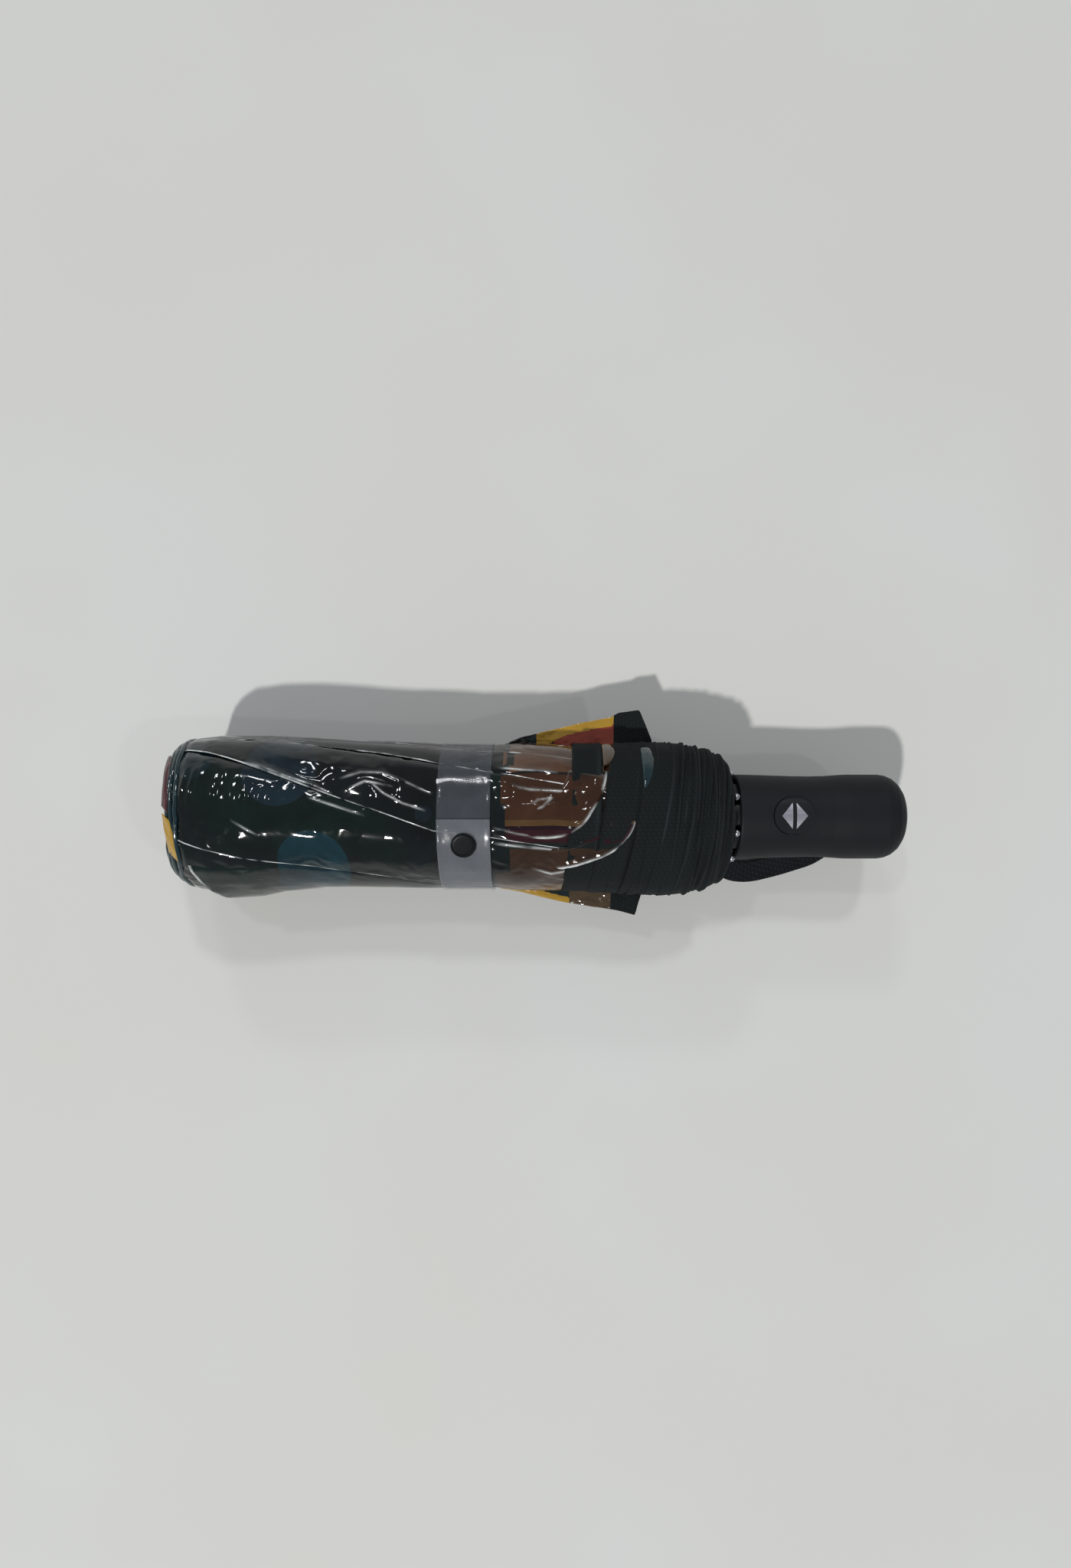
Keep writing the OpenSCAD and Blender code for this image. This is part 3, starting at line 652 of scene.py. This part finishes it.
def film_rings():
    """Turned-back edges of film that ring the roll at its crown end."""
    points, faces = [], []
    n, across = 160, 9
    for ring, (x, r) in enumerate([(FILM_X0, 24.2), (-132.0, 25.7), (-130.4, 27.1), (-128.2, 28.5)]):
        faces += [tuple(len(points) + v for v in f) for f in grid_faces(across, n, ring=True)]
        for c in np.linspace(0, math.pi, across):
            for az in 360 * np.arange(n) / n:
                c0, s0 = math.cos(math.radians(az)), math.sin(math.radians(az))
                wob = 0.7 * fractal(c0 * 2.4, s0 * 2.4, ring * 5, 3)
                out = r + 0.75 * math.sin(c) + wob * 0.6
                points.append(on_roll((x + wob - 0.8 * math.cos(c)) * MM, az, out * MM, 0.0012))
    return new_mesh("film_edge_rings", points, faces, FILM_TEAL, flip=True)


def crown_lap():
    """The corner of a panel that sticks out beside the roll at its crown end."""
    def place(u, v):
        az = 34 + 78 * v
        x = -125.2 + 10.3 * smooth(v * 1.25) + (58 - 14 * v) * u
        out = 2.4 * smooth(v * 1.5) * max(0, 1 - u / 0.40) - 1.6 * smooth((u - 0.6) / 0.4)
        out -= (1 - smooth(v / 0.12)) + 0.5 * smooth((v - 0.86) / 0.14)
        out += 0.35 + 0.35 * fractal(x / 14, az / 10, 8.0, 2) * (1 - u)
        return x, az, roll_radius(x * MM) / MM + out
    # Painted highlight lines along two of the lap's edges
    return patch_sheet("crown_lap", 90, 40, place, FILM, lambda u, v: 0.7 * (u < 0.012) + 0.4 * (v < 0.03))


def crown_tongue(name, az0, az1, near, far, finish, width=4.6):
    """A tongue of film folded out over the crown end's rim; near and far are its lip's ends, (x, radius)."""
    def place(u, v):
        x = near[0] + (far[0] - near[0]) * v + width * u
        r = near[1] + (far[1] - near[1]) * v + 0.8 * width * u - 0.9 * u * u
        r += 0.25 * fractal(u * 2, v * 4, az0, 2) - smooth((u - 0.85) / 0.15)
        return x, az0 + (az1 - az0) * v + 6 * u, r
    return patch_sheet(name, 16, 40, place, finish)


def hem_gap(name, x, width, az0, az1, finish):
    """Film that shows between two wide bands of the hem, narrowing away at its ends."""
    def place(u, v):
        part = width * math.sin(math.pi * min(1, 0.12 + v)) ** 0.5
        r = 30.25 - 0.6 * (2 * u - 1) ** 4 - 1.2 * (1 - smooth(min(v, 1 - v) / 0.12))
        return x + part * u, az0 + (az1 - az0) * v, r
    return patch_sheet(name, 12, 40, place, finish)


# ---- hem ----

def hem_tree():
    """Rings of binding, one for each point: made once, stood on every point and shaken a little."""
    tree = bpy.data.node_groups.new("hem rings", "GeometryNodeTree")
    for name, kind, value in (("Geometry", "Geometry", None), ("Band width", "Float", BAND_W * MM),
                              ("Thickness", "Float", 0.0006), ("Waviness", "Float", 0.0013),
                              ("Tilt", "Float", 0.027), ("Seed", "Int", 4),
                              ("Material", "Material", BINDING)):
        s = tree.interface.new_socket(name=name, in_out="INPUT", socket_type="NodeSocket" + kind)
        if value:
            s.default_value = value
    tree.interface.new_socket(name="Geometry", in_out="OUTPUT", socket_type="NodeSocketGeometry")
    add = adder(tree)
    given = add("NodeGroupInput", out=None).outputs
    # The band's section lies along X and is swept round a circle.
    flat = {"Width": given["Band width"], "Height": given["Thickness"]}
    section = add("GeometryNodeCurvePrimitiveQuadrilateral", flat)
    section = add("GeometryNodeFilletCurve", {"Curve": section, "Count": 3, "Radius": 0.00028}, mode="POLY")
    section = add("GeometryNodeResampleCurve", {"Curve": section, "Count": 28})
    circle = add("GeometryNodeCurvePrimitiveCircle", {"Resolution": 180, "Radius": RING_R * MM})
    turned = add("GeometryNodeTransform", {"Geometry": circle, "Rotation": (0, math.pi / 2, 0)})
    band = add("GeometryNodeCurveToMesh", {"Curve": turned, "Profile Curve": section})
    size = add("GeometryNodeInputNamedAttribute", {"Name": "ring_scale"}, data_type="FLOAT")
    scale = add("CombineXYZ", {"X": 1.0, "Y": size, "Z": size})
    low, high = (add("VectorMath", [given["Tilt"], way], operation="MULTIPLY")
                 for way in ((0, -1, -1), (0, 1, 1)))
    tilt = add("FunctionNodeRandomValue", {"Seed": given["Seed"], "Min": low, "Max": high},
               data_type="FLOAT_VECTOR")
    stood = add("GeometryNodeInstanceOnPoints",
                {"Points": given["Geometry"], "Instance": band, "Scale": scale, "Rotation": tilt})
    solid = add("GeometryNodeRealizeInstances", {"Geometry": stood})
    at = add("GeometryNodeInputPosition")
    wave = add("TexNoise", {"Vector": at, "Scale": 95.0, "Detail": 2.0}, "Color")
    centred = add("VectorMath", [wave, (0.5, 0.5, 0.5)], operation="SUBTRACT")
    push = add("VectorMath", {0: centred, "Scale": given["Waviness"]}, operation="SCALE")
    moved = add("GeometryNodeSetPosition", {"Geometry": solid, "Offset": push})
    done = add("GeometryNodeSetMaterial", {"Geometry": moved, "Material": given["Material"]})
    add("NodeGroupOutput", {"Geometry": done}, None)
    return tree


def hem_bands():
    """The binding of the rolled hem: wide bands first, then narrow ones that step down to the grip."""
    rights = [25.6, 38.6, 44.8, 47.8, 50.4, 52.8, 55.1, 57.3, 59.5, 61.6, 63.7, 65.7, 67.7, 69.7, 71.6, 73.4,
              75.2]
    radii = [29.0, 29.2, 29.4, 29.5, 29.7, 29.5, 29.7, 29.4, 29.2, 29.0, 28.8, 28.4, 27.9, 27.2, 26.3, 25.2,
             23.8]
    centres = [(right - BAND_W / 2) * MM for right in rights]
    mesh = bpy.data.meshes.new("hem_points")
    mesh.from_pydata([(x, lean(x), AXIS_Z) for x in centres], [], [])
    note(mesh, "ring_scale", [r / RING_R for r in radii])
    obj = stand("hem_bands", mesh)
    obj.modifiers.new("rings", "NODES").node_group = hem_tree()
    bake(obj)
    points = np.array([v.co for v in obj.data.vertices])
    bead_light_fold_shade = np.zeros(len(points))
    # Each band slopes a little towards the grip, and the roll lies flat on the table.
    per_ring = len(points) // len(rights)
    for i, right in enumerate(rights):
        narrow = i > 2
        p = points[i * per_ring:(i + 1) * per_ring]
        t = np.clip((p[:, 0] / MM - (right - BAND_W)) / BAND_W, -0.2, 1.2)
        k = 1 - (0.035 if narrow else 0.004) * t
        # The edge of a narrow band stands up as a bead, and each is pushed a little its own way.
        lip = np.exp(-((p[:, 0] / MM - right + 0.8) / 0.7) ** 2)
        bead = 1 + (0.032 if narrow else 0.010) * lip
        middle_y = lean(centres[i])
        y, z = p[:, 1] - middle_y, p[:, 2] - AXIS_Z
        az = np.arctan2(y, z)
        # Painted light and shade: each bead edge gets a painted highlight, and the fold where a band comes
        # out from under the one before it gets painted shade.
        fold = np.exp(-((p[:, 0] / MM - rights[i - 1] - 0.5) / 0.8) ** 2) if i else 0
        painted_relief = (lip * (0.85 if narrow else 0.5) - 0.9 * fold) * (0.65 + 0.35 * np.sin(3 * az + 2 * i))
        bead_light_fold_shade[i * per_ring:(i + 1) * per_ring] = painted_relief
        p[:, 1] = middle_y + y * k * bead + (0.45 * math.sin(2.3 * i) * MM if narrow else 0)
        p[:, 2] = AXIS_Z + z * k * bead + (0.35 * math.cos(3.1 * i) * MM if narrow else 0)
        # A band lies askew: further along on its +Y side, most of all where the bands turn narrow.
        askew = through(right, [(25.6, 1.4), (38.6, 4.6), (47.8, 5.2), (59.5, 4.0), (75.2, 1.6)])
        p[:, 0] += MM * askew * np.sin(az)
        p[:, 0] += MM * (0.5 * np.sin(2 * az + 1.7 * i) if narrow else 0.0)
    points[:, 2] = np.maximum(points[:, 2], 0.0007)
    points[:, 0] = np.minimum(points[:, 0], HEM_X1 + 0.0012)
    obj.data.vertices.foreach_set("co", points.astype(np.float32).ravel())
    # Keeps the painted highlight and painted shade for the binding's finish to read.
    note(obj.data, "bead_light_fold_shade", bead_light_fold_shade)
    az = np.arctan2(-points[:, 1], points[:, 2] - AXIS_Z)
    surface(obj.data, np.stack([az * 0.28, points[:, 0] * 10], 1), "cloth")
    return obj


def hem_corner(name, side, colours, outline):
    """A corner of the hem that stands out beside the roll: a doubled sheet of film with its binding."""
    xs, steps = np.linspace(outline[0][0], outline[-1][0], 110), np.linspace(0, 1, 26)
    root = 26.3  # mm, how far from the shaft it leaves the roll
    points, uv = [], []
    for x in xs:
        reach = through(x, outline)
        for v in steps:
            y = root + (reach - root) * v
            lift = 3.2 + 2.0 * v * side - 0.10 * (reach - root) * v + 0.6 * fractal(x / 9, v * 2, side * 3)
            points.append((x * MM, side * y * MM, AXIS_Z + (lift - 3.5) * MM))
            uv.append((x / 100, y / 100))
    finishes = [FILM_DARK, FILM_AMBER, FILM_RED, BINDING, FILM_BROWN]
    obj = new_mesh(name, points, grid_faces(len(xs), len(steps)), finishes, uv, "cloth", flip=side > 0)
    for polygon in obj.data.polygons:
        c = polygon.center
        polygon.material_index = colours(c.x / MM, abs(c.y) / MM, through(c.x / MM, outline))
    return thicken(obj, 0.0007, 0.0)


def top_colours(x, y, reach):
    """The finish of each part of the far corner: 0 dark, 1 amber, 2 red, 3 binding, 4 brown."""
    if x > 32.5:
        return 3
    if x > 2 and y > reach - 3.4 - 2.2 * smooth((15 - x) / 12):
        return 1
    return 2 if x > 9 else 0


def low_colours(x, y, reach):
    if x > 31.5:
        return 3
    if x > 15:
        return 4
    return 1 if y > reach - 2.4 else 0


# ---- closure strap ----

def band_sheet(name, x0, x1, az0, az1, r, thickness, finish, lip=0.0, cols=160):
    """A curved strip of sheet round the roll, its long edges welded a little thicker."""
    rows = 25
    points = []
    for i in range(rows):
        u = i / (rows - 1)
        x = x0 + (x1 - x0) * u
        rim = lip * sum(math.exp(-(edge / 0.0008) ** 2) for edge in (x - x0, x1 - x))
        for j in range(cols):
            az = az0 + (az1 - az0) * j / (cols - 1)
            w = 0.00018 * fractal(x * 90, az / 14, 6.0, 2)
            points.append(on_table(around(x, az, r + rim + w), 0.0003))
    obj = new_mesh(name, points, grid_faces(rows, cols), finish)
    return thicken(obj, thickness, 1.0)


def snap_head():
    """The snap's cap: a flat face in a thin raised rim."""
    profile = [(0, 0.34), (2.0, 0.34), (3.3, 0.34), (3.9, 0.33), (4.05, 0.30), (4.15, 0.40), (4.3, 0.47),
               (4.45, 0.46), (4.6, 0.34), (4.65, 0.05), (4.4, 0.0), (0, 0.0)]
    n = 64
    out, side = outward(FIRST_RIB), outward(FIRST_RIB + 90)
    centre = Vector((STRAP_X, 0, AXIS_Z)) + out * 0.02985
    points = []
    for r, h in profile:
        for i in range(n):
            c = 2 * math.pi * i / n
            flat = Vector((r * MM * math.cos(c), 0, 0)) + side * r * MM * math.sin(c)
            points.append(centre + flat + out * h * 1.5 * MM)
    return weld(new_mesh("snap_head", points, grid_faces(len(profile), n, ring=True), SNAP))


def weld(obj):
    """Merges doubled points, such as a lathe's poles, and turns every face outwards."""
    b = bmesh.new()
    b.from_mesh(obj.data)
    bmesh.ops.remove_doubles(b, verts=b.verts, dist=1e-6)
    bmesh.ops.recalc_face_normals(b, faces=b.faces)
    b.to_mesh(obj.data)
    b.free()
    return obj


# ---- button mark ----

def button_mark():
    """The two silver arrowheads, pointing apart, pressed into the button's crown."""
    centre = middle("button")
    top_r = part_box("button")[1].z - AXIS_Z
    points, faces = [], []
    rows, cols = 13, 9
    for side in (-1, 1):
        faces += [tuple(len(points) + v for v in f) for f in grid_faces(rows, cols)]
        for i in range(rows):
            u = i / (rows - 1)
            x = centre.x + side * (0.75 + 4.1 * u) * MM
            half = 4.9 * (1 - u) * MM
            for j in range(cols):
                y = half * (2 * j / (cols - 1) - 1)
                points.append((x, y, AXIS_Z + math.sqrt(top_r ** 2 - y * y) + 0.00006))
    obj = weld(new_mesh("button_mark", points, faces, SILVER))
    for f in obj.data.polygons:
        if f.normal.z < 0:
            f.flip()
    return obj


# ---- wrist tape ----

TAPE_ROUTE = [(117, 0, 11.2), (108, 0, 10.8), (98, 0, 10.6), (89, 0, 10.4), (85, 0, 9.0), (87, 0, 7.4),
              (95, 1, 7.2), (105, 2, 7.2), (114, 2, 7.0), (118, 2, 5.6), (114, 2, 4.3), (105, 3, 4.1),
              (96, 3, 3.8), (88, 1, 3.2), (81, -4, 2.2), (77.5, -11, 1.4), (79, -18, 1.2),
              (84.5, -22.2, 1.2), (92, -23, 1.2), (101, -21.2, 1.2), (110, -18.6, 1.2), (119, -15.4, 1.2),
              (126, -10, 1.2), (128, -2.5, 1.2), (124, 4, 1.2), (116, 7, 1.2), (107, 7, 1.2), (98, 6.4, 1.2)]


def smooth_line(route, steps):
    p = np.array(route, float)
    line = []
    for i in range(len(p) - 1):
        a, b, c, d = p[max(i - 1, 0)], p[i], p[i + 1], p[min(i + 2, len(p) - 1)]
        for k in range(steps):
            t = k / steps
            bend, twist = 2 * a - 5 * b + 4 * c - d, 3 * b - a - 3 * c + d
            line.append(0.5 * (2 * b + (c - a) * t + bend * t * t + twist * t ** 3))
    return np.array(line + [p[-1]])


def wrist_tape():
    """A flat woven loop: sewn in under the grip, folded once on itself, out round the mouth and back."""
    line = smooth_line(TAPE_ROUTE, 8) * MM
    t = np.gradient(line, axis=0)
    t /= np.linalg.norm(t, axis=1)[:, None]
    across = np.array([0.0, 1.0, 0.0])
    section = [(4.5, -0.25), (4.5, 0.25), (4.1, 0.5), (3.6, 0.42), (0, 0.42), (-3.6, 0.42), (-4.1, 0.5),
               (-4.5, 0.25), (-4.5, -0.25), (-4.1, -0.5), (-3.6, -0.42), (0, -0.42), (3.6, -0.42),
               (4.1, -0.5)]
    points, uv, run = [], [], 0.0
    for i, p in enumerate(line):
        across = across - t[i] * (across @ t[i])
        across /= np.linalg.norm(across)
        up = np.cross(t[i], across)
        run += np.linalg.norm(line[i] - line[i - 1]) if i else 0
        for w, h in section:
            points.append(p + across * w * MM + up * h * MM)
            uv.append((run * 10, w / 100))
    n = len(section)
    ends = [tuple(range(n))[::-1], tuple(range(len(points) - n, len(points)))]
    faces = grid_faces(len(line), n, ring=True) + ends
    return weld(new_mesh("wrist_tape", points, faces, TAPE, uv, "cloth")), line


# ---- open canopy ----

def turn(deg, a, r):
    c, s = math.cos(math.radians(deg)), math.sin(math.radians(deg))
    return np.array([[c, -s, a - c * a + s * r], [s, c, r - s * a - c * r], [0, 0, 1]])


# How each level of a rib lies when the umbrella is open, in its rib's plane: (along, out), in mm.
OPEN = {"inner": turn(78, 0, 10)}
OPEN["middle"] = OPEN["inner"] @ turn(-190, 182, 12.3)
OPEN["outer"] = OPEN["middle"] @ turn(167, 6, 16.4)


def dome():
    """The open canopy's line from the crown to the tips, just outside the ribs, as [along, out] in mm."""
    knots = [np.array([-3.5, 8.5])]
    for level, spots in (("inner", [(60, 13.0), (120, 13.2), (180, 13.6)]),
                         ("middle", [(120, 11.6), (60, 11.6), (8, 12.6)]),
                         ("outer", [(70, 20.4), (140, 20.2), (200, 19.0)])):
        knots += [(OPEN[level] @ [a, r, 1])[:2] for a, r in spots]
    return smooth_line([tuple(k) + (0.0,) for k in knots], 12)[:, :2]


DOME = dome()
SEAMS = [0, 36, 72, 108]  # where each level of the dome starts and ends


def fan(level, k, sweep, start, end, name, finish, band=None):
    """A level of the open canopy, from rib k to the next film carrier. At rest it lies folded by the rib."""
    inverse = np.linalg.inv(OPEN[level])
    steps = int(sweep * 0.8)
    line = DOME[start:end + 1]
    phi = FIRST_RIB + RIB_STEP * (k - 1)
    y_dir, r_dir = outward(phi - 90), outward(phi)
    at0 = Vector((CROWN_X, 0, AXIS_Z))
    total = np.concatenate([[0], np.cumsum(np.linalg.norm(np.diff(DOME, axis=0), axis=1))])
    points, uv, hemward, cloth = [], [], [], []
    for j in range(steps + 1):
        w = j / steps
        theta = w * sweep
        t = 0.5 - math.sin(math.asin(1 - 2 * w) / 3)  # the blend's ease, undone
        off = math.radians((theta % RIB_STEP) - RIB_STEP / 2)
        taut = math.cos(math.radians(RIB_STEP / 2)) / math.cos(off)
        gore = math.cos(off * 180 / RIB_STEP)  # 1 in the middle of a gore, 0 at its ribs
        for i, (a, r) in enumerate(line):
            s = total[start + i] / total[-1]
            if band:
                s = (total[-1] - band[0] + (band[1] - band[0]) * i / (len(line) - 1)) / total[-1]
                a, r = (float(np.interp(s * total[-1], total, DOME[:, c])) for c in (0, 1))
            shrink = 1 - 0.62 * (1 - taut) * smooth(s * 3)
            back = 1 - 0.03 * gore * smooth((s - 0.55) / 0.45)  # scalloped towards the hem
            a2, r2 = a * back, r * shrink * back
            if band:
                a2, r2 = a2 - 0.4, r2 + 0.3  # the binding lies outside the film
            rest = inverse @ [a2, r2, 1]
            y = (-0.8 + 1.6 * t) * MM
            points.append(at0 + Vector((rest[0] * MM, 0, 0)) + y_dir * y + r_dir * rest[1] * MM)
            full = math.radians(phi + theta)
            uv.append((s * 5.6 * math.cos(full) + 7, s * 5.6 * math.sin(full) + 7))
            hemward.append(0.5 + (s - 0.80) * 4)
            cloth.append((math.radians(theta) * r / 100, s * 5.6))
    uv, uv_name = (cloth, "cloth") if band else (uv, "film")
    obj = new_mesh(name, points, grid_faces(steps + 1, len(line)), finish, uv, uv_name, hemward=hemward)
    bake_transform(obj)
    return obj


# ---- camera, light, table ----

def camera():
    data = bpy.data.cameras.new("camera")
    data.sensor_width = 36
    data.lens = 19.2
    data.shift_x, data.shift_y = -0.009, 0.030
    data.clip_start = 0.01
    obj = stand("camera", data)
    obj.location = (0.0073, -0.0057, AXIS_Z + 0.331)
    bpy.context.scene.camera = obj


def area(name, location, target, size, energy, colour):
    data = bpy.data.lights.new(name, "AREA")
    data.shape, data.energy, data.color = "RECTANGLE", energy, colour
    data.size, data.size_y = size
    obj = stand(name, data)
    obj.location = location
    obj.rotation_euler = (Vector(target) - Vector(location)).to_track_quat("-Z", "Y").to_euler()


def studio():
    """Ceiling lamps well above a wide pale table, and a plain room: pale at the horizon, dim overhead."""
    scene = bpy.context.scene
    scene.view_settings.view_transform = "Standard"
    world = bpy.data.worlds.new("studio")
    world.use_nodes = True
    add = adder(world.node_tree)
    way = add("TexCoord", out="Generated")
    height = add("SeparateXYZ", {"Vector": way}, 2)
    tone = add("ValToRGB", {"Fac": height},
               stops=[(0.0, "#c3c5c5"), (0.03, "#c3c5c5"), (0.22, "#85878b"), (1.0, "#7b7d81")])
    feed(world.node_tree.nodes["Background"], {"Color": tone})
    scene.world = world
    area("key", (-1.60, -3.10, 4.62), (0, 0, 0), (0.24, 0.22), 212.0, (1.0, 0.985, 0.965))
    area("side", (0.75, 3.60, 4.50), (0, 0, 0.02), (0.50, 0.40), 52.0, (0.97, 0.98, 1.0))
    area("left", (-1.90, 2.40, 4.90), (0, 0, 0.03), (0.30, 0.30), 24.0, (0.98, 0.99, 1.0))
    area("glint", (3.30, -1.50, 4.30), (0, 0, 0.03), (0.20, 0.20), 16.0, (1.0, 0.99, 0.97))
    area("window", (-1.00, 4.70, 3.10), (0, 0, 0.03), (0.70, 0.40), 30.0, (0.96, 0.98, 1.0))

    # Matt, so that the shadows read.
    m, add, shader, at = material("pale table top", "#c9cac5", roughness=0.9)
    soft = add("TexNoise", {"Vector": at, "Scale": 6.0, "Detail": 3.0})
    colour = add("Mix", {0: soft, 6: srgb("#cbcac3"), 7: srgb("#cfd2d3")}, **COLOUR)
    feed(shader, {"Base Color": colour})
    table = new_mesh("table", [(-5, -5, 0), (5, -5, 0), (5, 5, 0), (-5, 5, 0)], [(0, 1, 2, 3)], m)


# ---- assembly ----

def gather(obj):
    """Gives the rolled film its own mesh."""
    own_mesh(obj)


def build():
    finish_cad()
    camera()
    studio()

    pleats = [pleat(k) for k in range(len(PLEATS))]
    edge_1 = [(28.6, 17), (28.1, 13.5), (26.6, 8.5), (23.5, 2.5), (19.0, -3.8), (11.8, -7.7), (3.4, -8.4),
              (-5.0, -7.2)]
    edge_2 = [(39.4, 3.0), (38.4, -3.5), (35.1, -9.3), (29.8, -13.7), (23.6, -16.4), (16.0, -18.9),
              (7.3, -20.4)]
    film = crown_folds() + [
        film_rings(), crown_lap(),
        crown_tongue("crown_tongue_1", 2, 34, (-134.6, 25.3), (-132.0, 26.9), FILM_AMBER),
        crown_tongue("crown_tongue_2", -56, -4, (-134.4, 25.2), (-134.8, 25.1), FILM_PLUM, 3.0),
        fold_over_hem("film_fold_1", edge_1, 17, 1.6, FILM),
        fold_over_hem("film_fold_2", edge_2, 9, 1.3, FILM),
        hem_gap("film_gap_1", 27.0, 5.0, -72, -34, FILM_BROWN),
        hem_gap("film_gap_2", 41.4, 5.2, -68, -14, FILM_TEAL)]
    for obj in pleats + film:
        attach(obj, "canopy_head")
        gather(obj)
    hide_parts("canopy_wrap")

    bands = hem_bands()
    top = hem_corner("hem_corner_far", 1, top_colours, [
        (-10, 28.5), (-4, 31.2), (3.9, 33.2), (18, 36.6), (31.8, 39.4), (34.6, 41.0), (42.8, 42.2),
        (47.3, 29.7)])
    low = hem_corner("hem_corner_near", -1, low_colours, [
        (-12, 28.3), (-4.1, 29.7), (13.9, 34.2), (33.8, 37.2), (41.3, 39.2), (43.8, 30)])
    for obj, node in ((bands, "canopy_hem"), (top, "hem_corner_left"), (low, "hem_corner_right")):
        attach(obj, "canopy_head")
        gather(obj)
        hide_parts(node)

    ring = band_sheet("closure_strap", STRAP_X0, STRAP_X1, 62, 62 + 359.5, 0.02845, 0.0004, CLEAR, 0.00025)
    tab = band_sheet("closure_tab", STRAP_X0, STRAP_X1, 3, 66.2, 0.0292, 0.0005, CLEAR_END, 0.0003, 90)
    head = snap_head()
    for obj, body, node, slot, keep in ((ring, "outer_rib_1", "strap", "clear_strap", 0.02),
                                        (tab, "strap_tab", "strap_tab", "clear_strap", 0.05),
                                        (head, "strap_tab", "snap_cap", "black_plastic", 0.15)):
        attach(obj, body)
        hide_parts(node)
        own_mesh(obj)

    mark = button_mark()
    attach(mark, "button")

    tape, line = wrist_tape()
    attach(tape, "handle")
    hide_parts("wrist_strap")
    length = float(np.linalg.norm(np.diff(line, axis=0), axis=1).sum())
    tuple(line[0])
    [tuple(p) for p in line]

    for level, (first, last) in zip(("inner", "middle", "outer"), zip(SEAMS, SEAMS[1:])):
        for k, sweep in ((1, 135), (4, 135), (7, 90)):
            piece = fan(level, k, sweep, first, last, f"canopy_{level}_{k}", FILM)
            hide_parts(f"film_{level}_{k}")
            if level == "outer":
                hem = fan(level, k, sweep, last - 6, last, f"canopy_hem_{k}", BINDING, band=(14.0, -1.0))


build()
